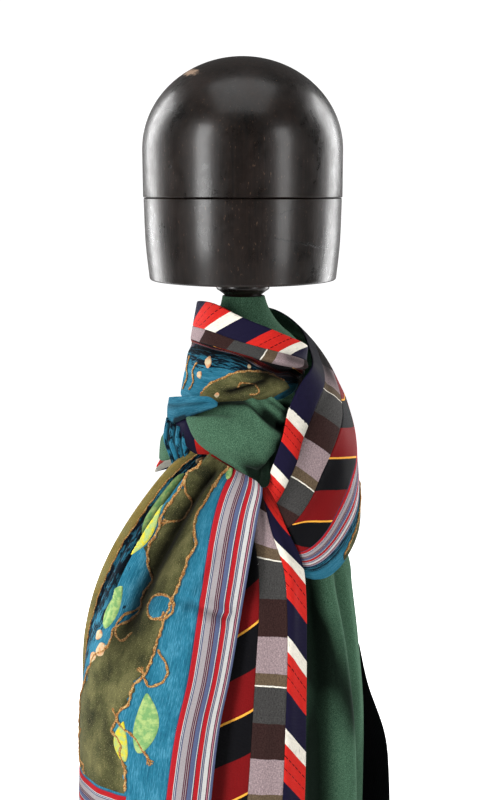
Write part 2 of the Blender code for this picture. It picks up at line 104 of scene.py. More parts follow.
STRIPS = [
    Strip("club_stripe", 22),
    Strip("grey_block", 28),
    Strip("burgundy", 35),
    Strip("ribbon", 39),
    Strip("applique", 175),
]
STRIP_WIDTH = {strip.name: strip.width for strip in STRIPS}
PLAIN_LAY = Lay(1.0, 0.0, 0.0)
LAYS = {
    "wrap_club_stripe": Lay(1.202, -1.40, -49.0),
    "wrap_grey_block": Lay(1.05, -0.3, -54.0),
    "wrap_burgundy": Lay(1.0, 1.2, -20.0),
    "loop_club_stripe": Lay(1.719, 0.60, -334.5, 0.10),
    "loop_grey_block": Lay(1.221, 0.80, -162.0),
    "loop_burgundy": Lay(1.158, 1.32, -157.2),
    "front_burgundy": Lay(0.925, 0.91, -112.0),
    "front_grey_block": Lay(0.935, -0.17, -17.4),
    "front_club_stripe": Lay(0.956, -1.41, -46.1),
    "knot_edge": Lay(-0.9, 0.4, 76.0),
    "left_corner": Lay(-1.6, -0.2, 27.0),
    "back_underlap": Lay(0.11, 0.05, 40.0),
}

WOUND = [
    Wound(-9, 57.0, 606, 0, 51.0, 574, 1),
    Wound(9, 54.6, 620, -2, 46.0, 584, 2),
    Wound(28, 62.5, 629, 1, 50.5, 586, 3),
    Wound(58, 53.0, 643, 0, 53.6, 582, 4),
    Wound(92, 45.0, 655, 0, 52.0, 580, 1),
    Wound(126, 42.0, 665, 5, 54.0, 579, -1),
    Wound(165, 41.0, 665, 2, 56.0, 580, -3),
    Wound(200, 40.0, 659, 0, 56.5, 584, -1),
    Wound(235, 39.5, 657, -1, 56.0, 590, 3),
    Wound(270, 42.0, 657, -5, 56.0, 594, 5),
    Wound(311, 45.3, 653, 2, 76.4, 586, 6),
    Wound(345, 52.5, 640, -11, 101.0, 556, 9),
    Wound(362, 59.0, 623, -14, 104.0, 520, 12),
    Wound(385, 67.0, 611, -25, 106.0, 485, 12),
    Wound(404, 69.0, 597, -34, 105.5, 458, 12),
    Wound(417, 72.5, 578, -37, 98.0, 436, 10),
    Wound(424, 78.0, 557, -35, 88.8, 424, 8),
    Wound(431, 74.5, 528, -33, 82.0, 423, 6),
    Wound(433, 58.5, 505, -29, 75.0, 426, 4),
    Wound(435, 50.0, 491, -27, 67.0, 430, 3),
]
WOUND_SEAMS = [
    Seams(0.30, 0.49, 0.66, 0.76),
    Seams(0.30, 0.49, 0.66, 0.76),
    Seams(0.30, 0.50, 0.66, 0.74),
    Seams(0.29, 0.48, 0.60, 0.64),
    Seams(0.285, 0.425, 0.450, 0.466),
    Seams(0.275, 0.415, 0.440, 0.456),
    Seams(0.26, 0.40, 0.424, 0.438),
    Seams(0.25, 0.41, 0.49, 0.55),
    Seams(0.24, 0.42, 0.54, 0.64),
    Seams(0.22, 0.42, 0.58, 0.74),
    Seams(0.20, 0.41, 0.62, 0.82),
    Seams(0.15, 0.38, 0.63, 0.86),
    Seams(0.135, 0.375, 0.645, 0.88),
    Seams(0.14, 0.38, 0.65, 0.88),
    Seams(0.16, 0.405, 0.66, 0.87),
    Seams(0.18, 0.42, 0.68, 0.86),
    Seams(0.19, 0.44, 0.70, 0.86),
    Seams(0.20, 0.45, 0.71, 0.87),
    Seams(0.20, 0.45, 0.71, 0.87),
    Seams(0.20, 0.45, 0.71, 0.87),
]
WOUND_LENGTH = 640.0
WOUND_WIDTH = 100.0
WRAP_END_TURN = 252.0

FRONT_LEFT = [
    Section(-31, -44, 550, 13, -58, 527, 2),
    Section(-47, -40, 538, 17, -65, 509, 4),
    Section(-70, -31, 515, 13, -74, 486, 14),
    Section(-105, -19, 463, 5, -81, 440, 28),
    Section(-129, -2, 411, -2, -85, 398, 39),
    Section(-143, 13, 356, -10, -87, 350, 48),
    Section(-147, 26, 300, -20, -88, 300, 53),
    Section(-144, 34, 240, -27, -88, 240, 56),
    Section(-142, 38, 186, -32, -87, 186, 58),
    Section(-140, 40, 120, -36, -85, 120, 59),
    Section(-140, 40, 62, -40, -84, 62, 60),
]
FRONT_LEFT_SEAMS = [0.60, 0.59, 0.645, 0.735, 0.785, 0.812, 0.815, 0.81, 0.81, 0.81, 0.81]
FRONT_LEFT_LENGTH = 520.0
FRONT_LEFT_WIDTH = 180.0

FRONT_RIGHT = [
    Section(-4, -57.2, 518, 24, -62.4, 509, 2),
    Section(-12, -61, 486, 38, -63.2, 474, 5),
    Section(-22, -68, 440, 52, -59.2, 442, 9),
    Section(-31, -73, 398, 56, -58, 408, 12),
    Section(-42, -73.5, 350, 57, -56, 352, 14),
    Section(-52, -73, 300, 57, -56, 300, 15),
    Section(-60, -72.5, 240, 57, -54, 240, 16),
    Section(-66, -71.5, 186, 56, -53, 186, 16),
    Section(-70, -70, 120, 56, -52, 120, 16),
    Section(-74, -68, 62, 56, -51.6, 62, 16),
]
FRONT_RIGHT_SEAMS = [
    (0.40, 0.70),
    (0.40, 0.70),
    (0.467, 0.738),
    (0.495, 0.757),
    (0.514, 0.776),
    (0.532, 0.785),
    (0.532, 0.785),
    (0.523, 0.776),
    (0.514, 0.766),
    (0.504, 0.766),
]
FRONT_RIGHT_LENGTH = 470.0
FRONT_RIGHT_WIDTH = 115.0

BACK_TAIL = [
    Section(22, -22, 548, 54.8, 37.4, 548, 10),
    Section(26, -28, 500, 50, 30, 500, 22),
    Section(36, -38, 440, 50, 36, 440, 48),
    Section(40, -44, 400, 46, 46, 400, 54),
    Section(44, -48, 340, 38, 58, 340, 64),
    Section(46, -49, 270, 30, 66, 270, 74),
    Section(48, -48, 200, 24, 72, 200, 78),
    Section(48, -48, 130, 20, 75, 130, 80),
    Section(48, -48, 62, 20, 75, 62, 80),
]
BACK_TAIL_LENGTH = 425.0
BACK_TAIL_WIDTH = 240.0

UNDERLAP = [
    Section(84, 52, 330, 112, 28, 330, 2),
    Section(91, 55, 290, 121, 26, 290, 3),
    Section(96.5, 56.5, 240, 138, 22, 240, 4),
    Section(99.5, 58.5, 190, 143, 20, 190, 5),
    Section(100.3, 59.4, 120, 145, 18, 120, 5),
    Section(100.3, 59.4, 62, 146, 17, 62, 5),
]

KNOT = [
    Section(-47, -42, 572, -45, -43, 560, 4),
    Section(-38, -49, 577, -39, -52, 547, 7),
    Section(-20, -53, 582.8, -20, -62, 535, 13),
    Section(0, -54, 584.2, 0, -68, 524, 14),
    Section(16, -54, 585.2, 17, -70, 511, 12),
    Section(27, -52, 585.8, 26, -63, 526, 9),
    Section(35, -46, 584, 33, -56, 541, 7),
    Section(46, -38, 582, 44, -46, 556, 5),
]
KNOT_LENGTH = 105.0
KNOT_WIDTH = 75.0

KNOT_EDGE = [
    Section(-59, -25, 562, -59, -27, 553, 1),
    Section(-50, -38, 566, -52, -41, 544, 2),
    Section(-41, -46, 560, -42, -50, 537, 2),
    Section(-28, -52, 548, -29, -57, 537, 1),
    Section(-14, -57.5, 540, -15, -63, 530.5, 1),
    Section(-4, -60, 534, -5, -66, 525.5, 1),
    Section(2, -61, 530, 1, -67, 522.5, 1),
]

TEAL_TUCK = [
    Section(-65.2, -20.0, 581.1, -67.7, -14.0, 557.3, 0.6),
    Section(-58.0, -34.0, 584.1, -59.5, -30.0, 559.7, 1),
    Section(-46.7, -49.0, 587.2, -48.0, -46.0, 567.4, 1.4),
    Section(-36.0, -59.0, 589.0, -37.1, -57.0, 573.5, 1.4),
    Section(-27.4, -64.0, 589.1, -29.2, -63.0, 577.3, 1),
    Section(-20.6, -66.0, 584.8, -21.4, -66.5, 581.4, 1),
]

BACK_WRAP = [
    Wound(140, 50, 562, 0, 52.0, 538, 2),
    Wound(152, 53, 566, 0, 62.0, 530, 4),
    Wound(168, 56, 566, 0, 73.0, 522, 5),
    Wound(185, 57, 568, 0, 77.0, 520, 5),
    Wound(205, 57, 572, 0, 76.0, 522, 5),
    Wound(235, 55, 584, 0, 70.0, 536, 5),
    Wound(268, 52, 592, 0, 66.0, 550, 5),
    Wound(300, 54, 594, 0, 68.0, 548, 5),
    Wound(326, 56, 590, 0, 68.0, 538, 5),
]

SIDE_STRAND = [
    Section(-68.5, -14.9, 562, -47, -43, 556, 2),
    Section(-70.8, -19.2, 544, -47, -45, 545, 3),
    Section(-64.5, -27.7, 527, -47, -44, 533, 2),
    Section(-60.0, -22.0, 506, -46, -32, 510, 1),
]

LEFT_CORNER = [
    Section(-76, 0, 519, -71, 26, 520, 1),
    Section(-80, 4, 512, -69, 30, 512, 1),
    Section(-82, 10, 506, -68, 32, 504, 1),
]

COLLAR = [
    Ring(669, 0.5, 18.6, 18.2),
    Ring(660, 1.0, 21.0, 20.5),
    Ring(650, 2.0, 25.5, 24.5),
    Ring(641, 3.0, 32.0, 30.0),
    Ring(632, 4.5, 41.0, 40.0),
    Ring(623, 6.8, 46.4, 44.0),
]


def at_turn(turn):
    """Share of the wound stretch at which its upper edge has come to a turn."""
    turns = [row.turn for row in WOUND]
    return float(np.interp(turn, turns, np.linspace(0.0, 1.0, len(turns))))


# The largest creases are those of the solids, and the finer ones were added.
WOUND_FOLDS = [
    Fold(at_turn(22), 0.41, at_turn(84), 0.43, 11, 9, 6),
    Fold(at_turn(20), 0.61, at_turn(80), 0.57, 9, 14, -11),
    Fold(at_turn(62), 0.47, at_turn(195), 0.455, 3.5, 5, -6),
    Fold(at_turn(64), 0.69, at_turn(112), 0.89, 3, 5, -5),
    Fold(at_turn(60), 0.76, at_turn(116), 0.96, 3, 4, 2.4),
    Fold(at_turn(8), 0.72, at_turn(52), 0.66, 4, 6, -4),
    Fold(at_turn(110), 0.20, at_turn(170), 0.30, 3, 5, 1.2),
    Fold(at_turn(180), 0.34, at_turn(250), 0.24, 4, 6, 1.4),
    Fold(at_turn(170), 0.72, at_turn(240), 0.66, 5, 4, -1.5),
    Fold(at_turn(265), 0.52, at_turn(345), 0.30, 5, 8, 1.8),
    Fold(at_turn(355), 0.16, at_turn(424), 0.20, 2.5, 4, -1.4),
    Fold(at_turn(392), 0.42, at_turn(433), 0.56, 6, 8, -1.8),
    Fold(at_turn(340), 0.70, at_turn(404), 0.62, 9, 7, 1.6),
]
FRONT_LEFT_FOLDS = [
    Fold(-0.06, 0.25, 0.46, 0.33, 2.4, 11, 9),
    Fold(0.00, 0.20, 0.44, 0.27, 8, 4, -5),
    Fold(0.06, 0.40, 0.48, 0.46, 8, 10, -8),
    Fold(0.06, 0.60, 0.46, 0.58, 10, 14, 4),
    Fold(0.345, 0.66, 0.385, 0.98, 3.0, 4, 4.0),
    Fold(0.365, 0.64, 0.405, 0.98, 3.0, 4, -3.4),
    Fold(0.24, 0.80, 0.42, 0.70, 4, 7, -2.4),
    Fold(0.40, 0.36, 0.98, 0.40, 26, 30, 6),
    Fold(0.44, 0.56, 0.80, 0.50, 9, 14, 2.4),
    Fold(0.00, 0.065, 0.86, 0.045, 6, 5, 4.2),
    Fold(0.00, 0.135, 0.80, 0.110, 3, 5, -2.6),
    Fold(0.34, 0.74, 0.52, 0.80, 3, 3, 1.4),
    Fold(0.40, 0.80, 0.60, 0.86, 3, 4, -1.0),
    Fold(0.60, 0.62, 0.97, 0.58, 6, 9, 1.6),
    Fold(0.70, 0.20, 1.02, 0.16, 8, 10, -2.2),
]
FRONT_RIGHT_FOLDS = [
    Fold(0.05, 0.80, 0.95, 0.82, 10, 8, 4),
    Fold(0.05, 0.34, 0.98, 0.30, 10, 10, -3),
    Fold(0.02, 0.58, 0.30, 0.50, 4, 5, -1.5),
    Fold(0.46, 0.66, 0.92, 0.60, 5, 7, 1.2),
]
BACK_TAIL_FOLDS = [
    Fold(0.22, 0.145, 1.10, 0.125, 22, 13, -15),
    Fold(0.30, 0.27, 1.10, 0.29, 8, 12, 3.5),
    Fold(0.10, 0.36, 1.05, 0.37, 12, 12, -6),
    Fold(0.15, 0.52, 1.05, 0.48, 12, 12, 4),
    Fold(0.05, 0.74, 1.05, 0.72, 14, 14, -6),
    Fold(0.06, 0.06, 0.30, 0.24, 6, 9, 2.6),
    Fold(0.30, 0.44, 0.72, 0.41, 5, 7, 1.8),
    Fold(0.20, 0.62, 0.90, 0.63, 7, 9, 2.4),
    Fold(0.35, 0.88, 1.05, 0.86, 9, 7, 2.0),
]
KNOT_FOLDS = [
    Fold(0.50, 0.02, 0.94, 0.66, 2.6, 7, -7.5),
    Fold(0.38, 0.00, 0.86, 0.72, 2.4, 4, 4.0),
    Fold(0.42, 0.98, 0.70, 0.66, 4, 9, -7),
    Fold(0.04, 0.16, 0.42, 0.22, 4, 5, -4.2),
    Fold(0.42, -0.12, 0.78, 0.44, 2.4, 3, 3.0),
    Fold(0.56, -0.16, 0.96, 0.42, 2.2, 2.6, 3.4),
    Fold(0.66, -0.16, 1.04, 0.34, 2.2, 3.0, -4.0),
    Fold(0.22, 0.80, 0.50, 0.60, 5, 6, 2.0),
    Fold(0.60, 1.06, 0.66, 0.60, 2.6, 4, 3.0),
    Fold(0.50, 1.04, 0.57, 0.70, 2.2, 2.6, -3.0),
]
TEAL_TUCK_FOLDS = [
    Fold(-0.05, 0.36, 0.80, 0.52, 3.5, 6, 1.8),
    Fold(0.02, 0.72, 0.62, 0.78, 3, 3, -1.2),
]
SIDE_STRAND_FOLDS = [
    Fold(-0.5, 0.14, 1.5, 0.20, 2.0, 2.2, 2.0),
    Fold(-0.5, 0.40, 1.5, 0.44, 2.0, 1.6, 2.2),
    Fold(-0.5, 0.66, 1.5, 0.66, 1.8, 2.0, 2.0),
    Fold(-0.5, 0.88, 1.5, 0.86, 1.6, 1.6, 1.8),
]
BACK_WRAP_FOLDS = [
    Fold(0.04, 0.30, 0.48, 0.36, 3, 5, -1.6),
    Fold(0.30, 0.70, 0.92, 0.58, 4, 6, 1.8),
    Fold(0.55, 0.24, 1.00, 0.30, 4, 4, -1.4),
]


DEPTH_SHADE = 0.055  # painted shade: share of colour that each millimetre of a crease's depth takes away
# most colour that painted shade may take away
DEEPEST_SHADE = 0.92
# Painted shade and painted shadow: where the cloth is tucked under another stretch or lies in
# shadow, its colour is darkened.  The height of each row is the share of colour that is taken away.
WOUND_SHADES = [
    Fold(at_turn(-2), -0.3, at_turn(10), 1.3, 27, 24, 0.92),
    Fold(at_turn(22), 0.37, at_turn(58), 0.35, 8, 8, 0.7),
    Fold(at_turn(64), 0.69, at_turn(112), 0.89, 2.5, 5, 0.75),
    Fold(at_turn(8), 0.72, at_turn(52), 0.66, 4, 5, 0.8),
    Fold(at_turn(96), 0.46, at_turn(84), 0.70, 5, 7, 0.35),
    Fold(at_turn(16), 0.63, at_turn(90), 0.58, 10, 16, 0.75),
    Fold(at_turn(50), 0.47, at_turn(200), 0.455, 3, 7, 0.6),
    Fold(at_turn(40), 1.0, at_turn(150), 1.0, 7, 7, 0.45),
    Fold(at_turn(325), -0.02, at_turn(392), -0.02, 16, 30, 0.75),
    Fold(at_turn(300), 0.22, at_turn(380), 0.26, 12, 10, 0.55),
    Fold(at_turn(392), 0.16, at_turn(440), 0.22, 6, 9, 0.35),
    Fold(at_turn(434), -0.3, at_turn(435), 1.3, 26, 26, 0.85),
]
# painted shade on the left part of the front end, along its pleat and folds and at its top
FRONT_LEFT_SHADES = [
    Fold(0.00, 0.18, 0.46, 0.265, 10, 4, 0.8),
    Fold(0.04, 0.42, 0.54, 0.46, 12, 24, 0.72),
    Fold(0.02, -0.4, 0.02, 1.4, 16, 16, 0.75),
    Fold(0.365, 0.70, 0.40, 0.98, 2.6, 4, 0.28),
    Fold(0.52, 0.20, 0.80, 0.42, 14, 20, 0.30),
    Fold(0.00, 0.13, 0.70, 0.11, 4, 6, 0.45),
]
# painted shade on the right part of the front end, darkest at its top under the knot
FRONT_RIGHT_SHADES = [
    Fold(0.00, -0.3, 0.00, 1.3, 40, 40, 0.85),
    Fold(0.02, 0.40, 0.34, 0.44, 14, 12, 0.55),
    Fold(-0.05, 0.03, 1.05, 0.03, 8, 10, 0.55),
    Fold(0.05, 0.34, 0.98, 0.31, 8, 6, 0.30),
]
# painted shade and painted shadow on the other stretches, by node
SHADES = {
    # painted shade on the knot: its low right side, its fine creases and its top under the tuck
    "knot": [
        Fold(0.44, 1.02, 0.86, 0.50, 13, 16, 0.85),
        Fold(0.48, 1.06, 0.66, 0.80, 13, 13, 0.9),
        Fold(0.84, -0.1, 0.96, 0.9, 8, 8, 0.75),
        Fold(0.02, 0.06, 0.50, 0.00, 6, 9, 0.8),
        Fold(0.52, 0.02, 0.92, 0.60, 2.5, 7, 0.8),
        Fold(0.70, -0.05, 1.02, 0.50, 2.5, 5, 0.6),
        Fold(0.10, 0.00, 0.50, 0.04, 3, 4, 0.5),
        Fold(0.42, 0.02, 0.90, 0.66, 1.4, 2.2, 0.6),
        Fold(0.58, -0.05, 0.98, 0.48, 1.3, 2.0, 0.6),
        Fold(0.34, 0.00, 0.62, 0.26, 1.3, 2.4, 0.5),
        Fold(-0.02, 0.2, 0.04, 1.2, 5, 6, 0.6),
        Fold(0.20, 1.0, 0.60, 1.0, 4, 5, 0.4),
    ],
    # painted shadow: the far end of the knot edge is darkened nearly to black
    "knot_edge": [Fold(0.0, 0.9, 1.0, 0.9, 5, 5, 0.4), Fold(1.0, -0.5, 1.0, 1.5, 36, 30, 0.92)],
    # painted shade all over the tucked band, darker at its low edge where it folds under
    "teal_tuck": [
        Fold(-0.5, 0.60, 1.5, 0.60, 60, 60, 0.28),
        Fold(-0.1, 0.30, 0.9, 0.44, 2.5, 4, 0.35),
        Fold(0.1, 1.0, 1.0, 1.0, 5, 4, 0.6),
        Fold(0.14, 0.86, 0.40, 0.92, 3, 4, 0.7),
    ],
    # painted shade in thin lines between the strands, and at one end
    "side_strand": [
        Fold(-0.5, 0.27, 1.5, 0.31, 1.6, 1.6, 0.8),
        Fold(-0.5, 0.54, 1.5, 0.55, 1.6, 1.6, 0.8),
        Fold(-0.5, 0.78, 1.5, 0.77, 1.4, 1.4, 0.8),
        Fold(-0.2, -0.2, -0.2, 1.2, 8, 8, 0.7),
    ],
    # painted shade at the start of the back wrap and along its edge
    "back_wrap": [Fold(-0.05, -0.2, 0.03, 1.2, 20, 20, 0.6), Fold(0.0, 0.05, 1.0, 0.05, 6, 6, 0.5)],
    # painted shadow along the tail's side next to the front end, and at its top
    "back_tail": [
        Fold(0.12, 0.085, 0.56, 0.115, 20, 17, 0.9),
        Fold(0.40, 0.12, 0.66, 0.34, 15, 19, 0.9),
        Fold(0.00, -0.2, 0.00, 1.2, 50, 60, 0.6),
        Fold(0.50, 0.06, 1.20, 0.10, 16, 12, 0.5),
    ],
}


def wound(rows):
    """Sections from rows that are given as turns about the post."""
    made = []
    for row in rows:
        top = math.radians(row.turn)
        low = math.radians(row.turn + row.lead)
        made.append(
            Section(
                row.top_r * math.cos(top),
                -row.top_r * math.sin(top),
                row.top_z,
                row.low_r * math.cos(low),
                -row.low_r * math.sin(low),
                row.low_z,
                row.bow,
            )
        )
    return made


def smooth_rows(rows, share):
    """Values at the given shares of a table, on a smooth curve through its rows."""
    table = np.array(rows, dtype=float)
    if table.ndim == 1:
        table = table[:, None]
    last = len(table) - 1
    place = np.clip(share, 0.0, 1.0) * last
    start = np.minimum(place.astype(int), last - 1)
    t = (place - start)[:, None]
    p0 = table[np.maximum(start - 1, 0)]
    p1 = table[start]
    p2 = table[start + 1]
    p3 = table[np.minimum(start + 2, last)]
    slope = p2 - p0
    bend = 2 * p0 - 5 * p1 + 4 * p2 - p3
    twist = 3 * p1 - p0 - 3 * p2 + p3
    return 0.5 * (2 * p1 + slope * t + bend * t**2 + twist * t**3)


def unit(vectors):
    """Vectors of length one."""
    size = np.linalg.norm(vectors, axis=-1, keepdims=True)
    return vectors / np.maximum(size, 1e-9)


def plain_form(sections, u, v):
    """Points of a stretch without its creases: each section is an arc between its edges."""
    row = smooth_rows(sections, u)
    a = row[:, 0:3]
    b = row[:, 3:6]
    bow = np.maximum(row[:, 6], LEAST_BOW)
    width = np.linalg.norm(b - a, axis=1)
    across = unit(b - a)
    middle = (a + b) / 2
    out = middle * (1.0, 1.0, 0.0)
    out = unit(out - across * np.sum(out * across, axis=1, keepdims=True))
    radius = (width**2 / 4 + bow**2) / (2 * bow)
    angle = (2 * v - 1) * 2 * np.arctan2(2 * bow, width)
    side = (radius * np.sin(angle))[:, None]
    rise = (radius * np.cos(angle) - radius + bow)[:, None]
    return middle + across * side + out * rise


def ring_form(rings, u, v):
    """Points of a closed ring round the post: u is its turn and v its level."""
    row = smooth_rows(rings, v)
    angle = 2 * math.pi * u
    x = row[:, 1] + row[:, 2] * np.cos(angle)
    y = row[:, 3] * np.sin(angle)
    return np.stack([x, y, row[:, 0]], axis=1)


def normals(place, u, v):
    """Directions away from the post, square to the surface that place() gives."""
    along = place(u + STEP, v) - place(u - STEP, v)
    across = place(u, v + STEP) - place(u, v - STEP)
    square = unit(np.cross(along, across))
    out = place(u, v) * (1.0, 1.0, 0.0)
    if np.sum(square * out) < 0:
        square = -square
    return square


def ease(value):
    """Rises smoothly from 0 to 1."""
    value = np.clip(value, 0.0, 1.0)
    return value * value * (3 - 2 * value)


def relief(folds, length, width, u, v):
    """How far the creases lift a surface."""
    lift = np.zeros_like(u)
    for fold in folds:
        run = np.array([(fold.u1 - fold.u0) * length, (fold.v1 - fold.v0) * width])
        reach = math.hypot(*run)
        run = run / reach
        du = (u - fold.u0) * length
        dv = (v - fold.v0) * width
        share = (du * run[0] + dv * run[1]) / reach
        off = dv * run[0] - du * run[1]
        size = np.where(off < 0, fold.left, fold.right)
        ends = ease(share / FADE) * ease((1 - share) / FADE)
        lift = lift + fold.height * ends * np.exp(-((off / size) ** 2))
    return lift


class Cloth:
    """A stretch of cloth: where its outer side is, at shares along and across it."""

    def __init__(self, sections, folds=(), length=1.0, width=1.0, form=plain_form, shades=()):
        self.sections = sections
        self.folds = folds
        self.shades = shades
        self.length = length
        self.width = width
        self.form = form

    def plain(self, u, v):
        """The outer side without its creases."""
        return self.form(self.sections, u, v)

    def outer(self, u, v):
        """The outer side with its creases."""
        points = self.plain(u, v)
        if not self.folds:
            return points
        lift = relief(self.folds, self.length, self.width, u, v)
        return points + normals(self.plain, u, v) * lift[:, None]

    def crease(self, u, v):
        """Painted shade, from 0 to 1: more the deeper the cloth lies in a crease, and more where its rows of
        painted shade lie.
        """
        # painted shade that grows with the depth of a crease
        depth = -DEPTH_SHADE * np.minimum(relief(self.folds, self.length, self.width, u, v), 0.0)
        # painted shade and painted shadow where the cloth is tucked under other stretches
        painted_tuck_shade = relief(self.shades, self.length, self.width, u, v)
        return np.clip(depth + painted_tuck_shade, 0.0, DEEPEST_SHADE)

    def width_at(self, u):
        """Length of the section at each share of the stretch."""
        marks = np.linspace(0.0, 1.0, 9)
        total = np.zeros_like(u)
        for low, high in zip(marks, marks[1:]):
            here = self.outer(u, np.full_like(u, low))
            there = self.outer(u, np.full_like(u, high))
            total = total + np.linalg.norm(there - here, axis=1)
        return total


WOUND_CLOTH = Cloth(wound(WOUND), WOUND_FOLDS, WOUND_LENGTH, WOUND_WIDTH, shades=WOUND_SHADES)
FRONT_LEFT_CLOTH = Cloth(
    FRONT_LEFT, FRONT_LEFT_FOLDS, FRONT_LEFT_LENGTH, FRONT_LEFT_WIDTH, shades=FRONT_LEFT_SHADES
)
FRONT_RIGHT_CLOTH = Cloth(
    FRONT_RIGHT, FRONT_RIGHT_FOLDS, FRONT_RIGHT_LENGTH, FRONT_RIGHT_WIDTH, shades=FRONT_RIGHT_SHADES
)


MASK_OFF = (0, 0, 0)
MASK_ON = (1, 1, 1)
LEAST_TONE = 0.05  # share of its colour that the darkest fleck keeps
VIEWPORT_GREY = (0.3, 0.3, 0.3, 1.0)


class Graph:
    """Adds and joins the nodes of one material."""

    def __init__(self, name, roughness, gleam=0.03, takes_painted_shade=True):
        self.takes_painted_shade = takes_painted_shade
        self.material = bpy.data.materials.new(name)
        self.material.use_nodes = True
        self.tree = self.material.node_tree
        self.shader = self.tree.nodes["Principled BSDF"]
        self.shader.inputs["Roughness"].default_value = roughness
        self.shader.inputs["Specular IOR Level"].default_value = gleam

    def node(self, kind, **values):
        """A new node with its settings."""
        made = self.tree.nodes.new(kind)
        for key, value in values.items():
            setattr(made, key, value)
        return made

    def put(self, socket, value):
        """Links a socket, or sets it to a number or a colour."""
        if isinstance(value, bpy.types.NodeSocket):
            self.tree.links.new(value, socket)
        elif isinstance(value, tuple) and socket.type == "RGBA":
            socket.default_value = (*value, 1.0)
        elif value is not None:
            socket.default_value = value

    def maths(self, operation, *values):
        """Result of one sum, product or other operation."""
        made = self.node("ShaderNodeMath", operation=operation)
        for socket, value in zip(made.inputs, values):
            self.put(socket, value)
        return made.outputs[0]

    def add(self, a, b):
        return self.maths("ADD", a, b)

    def times(self, a, b):
        return self.maths("MULTIPLY", a, b)

    def reach(self, x, y):
        """Length of the step from 0, 0 to x, y."""
        return self.maths("SQRT", self.add(self.maths("POWER", x, 2.0), self.maths("POWER", y, 2.0)))

    def join(self, x, y=0.0, z=0.0):
        """A vector from its parts."""
        made = self.node("ShaderNodeCombineXYZ")
        for socket, value in zip(made.inputs, (x, y, z)):
            self.put(socket, value)
        return made.outputs[0]

    def split(self, vector):
        """The parts of a vector."""
        made = self.node("ShaderNodeSeparateXYZ")
        self.put(made.inputs[0], vector)
        return made.outputs

    def cloth_place(self):
        """Millimetres along and across the strip."""
        place = self.node("ShaderNodeUVMap", uv_map=CLOTH_UV).outputs[0]
        x, y, _ = self.split(place)
        return self.times(x, 1000.0), self.times(y, 1000.0)

    def solid_place(self):
        """Millimetres in the object's own frame."""
        place = self.node("ShaderNodeTexCoord").outputs["Object"]
        return [self.times(axis, 1000.0) for axis in self.split(place)]

    def noise(self, x, y=0.0, z=0.0, size=(1.0, 1.0, 1.0), detail=2.0, rough=0.5):
        """Soft noise from 0 to 1, with lumps of the given sizes along each axis."""
        parts = []
        for value, grain in zip((x, y, z), size):
            parts.append(value if isinstance(value, float) else self.times(value, 1.0 / grain))
        made = self.node("ShaderNodeTexNoise")
        self.put(made.inputs["Vector"], self.join(*parts))
        made.inputs["Scale"].default_value = 1.0
        made.inputs["Detail"].default_value = detail
        made.inputs["Roughness"].default_value = rough
        return made.outputs["Fac"]

    def ramp(self, value, stops, hard=False):
        """Colours at places from 0 to 1: stops are (place, colour)."""
        made = self.node("ShaderNodeValToRGB")
        made.color_ramp.interpolation = "CONSTANT" if hard else "LINEAR"
        points = made.color_ramp.elements
        while len(points) < len(stops):
            points.new(1.0)
        for point, (place, colour) in zip(points, stops):
            point.position = place
            point.color = (*colour, 1.0)
        self.put(made.inputs[0], value)
        return made.outputs[0]

    def share(self, value, low, high):
        """0 at low, 1 at high, and straight between them."""
        made = self.node("ShaderNodeMapRange", clamp=True)
        for socket, number in zip(made.inputs, (value, low, high, 0.0, 1.0)):
            self.put(socket, number)
        return made.outputs[0]

    def mix(self, factor, a, b):
        """Colour a where the factor is 0, and b where it is 1."""
        made = self.node("ShaderNodeMix", data_type="RGBA", blend_type="MIX")
        self.put(made.inputs[0], factor)
        self.put(made.inputs[6], a)
        self.put(made.inputs[7], b)
        return made.outputs[2]

    def dim(self, colour, factor):
        """A colour made darker or lighter by a number."""
        made = self.node("ShaderNodeVectorMath", operation="SCALE")
        self.put(made.inputs[0], colour)
        self.put(made.inputs["Scale"], factor)
        return made.outputs[0]

    def melange(self, colour, grain, amount):
        """Uneven colour: a grain from 0 to 1 lifts or lowers it by up to an amount."""
        factor = self.add(self.times(self.add(grain, -0.5), 2.0 * amount), 1.0)
        return self.dim(colour, self.maths("MAXIMUM", factor, LEAST_TONE))

    def weave(self, x, y, pitch):
        """Height of a plain weave, from 0 to 1."""
        turn = 2 * math.pi / pitch
        warp = self.maths("SINE", self.times(x, turn))
        weft = self.maths("SINE", self.times(y, turn))
        return self.add(self.times(self.times(warp, weft), 0.5), 0.5)

    def twill(self, x, y, pitch):
        """Height of a diagonal weave, from 0 to 1."""
        turn = 2 * math.pi / pitch
        return self.add(self.times(self.maths("SINE", self.times(self.add(x, y), turn)), 0.5), 0.5)

    def repeat(self, place, period, start=0.0):
        """Share of a repeat that a place has come to."""
        return self.maths("FRACT", self.times(self.add(place, -start), 1.0 / period))

    def bump(self, height, depth, strength=1.0):
        """Relief of a given depth in millimetres."""
        made = self.node("ShaderNodeBump")
        made.inputs["Strength"].default_value = strength
        made.inputs["Distance"].default_value = depth * MM
        self.put(made.inputs["Height"], height)
        self.put(self.shader.inputs["Normal"], made.outputs[0])

    def sheen(self, weight, tint=(1.0, 1.0, 1.0)):
        """A soft nap."""
        self.shader.inputs["Sheen Weight"].default_value = weight
        self.shader.inputs["Sheen Roughness"].default_value = 0.5
        self.shader.inputs["Sheen Tint"].default_value = (*tint, 1.0)

    def done(self, colour):
        """Finishes the material with its colour, darkened by the painted shade that each point of the cloth
        holds.
        """
        if self.takes_painted_shade:
            # painted shade: the colour loses the share of it that the point's attribute holds
            depth = self.node("ShaderNodeAttribute", attribute_name=PAINTED_SHADE_NAME).outputs["Fac"]
            colour = self.dim(colour, self.add(self.times(depth, -1.0), 1.0))
        self.put(self.shader.inputs["Base Color"], colour)
        self.material.diffuse_color = VIEWPORT_GREY
        return self.material


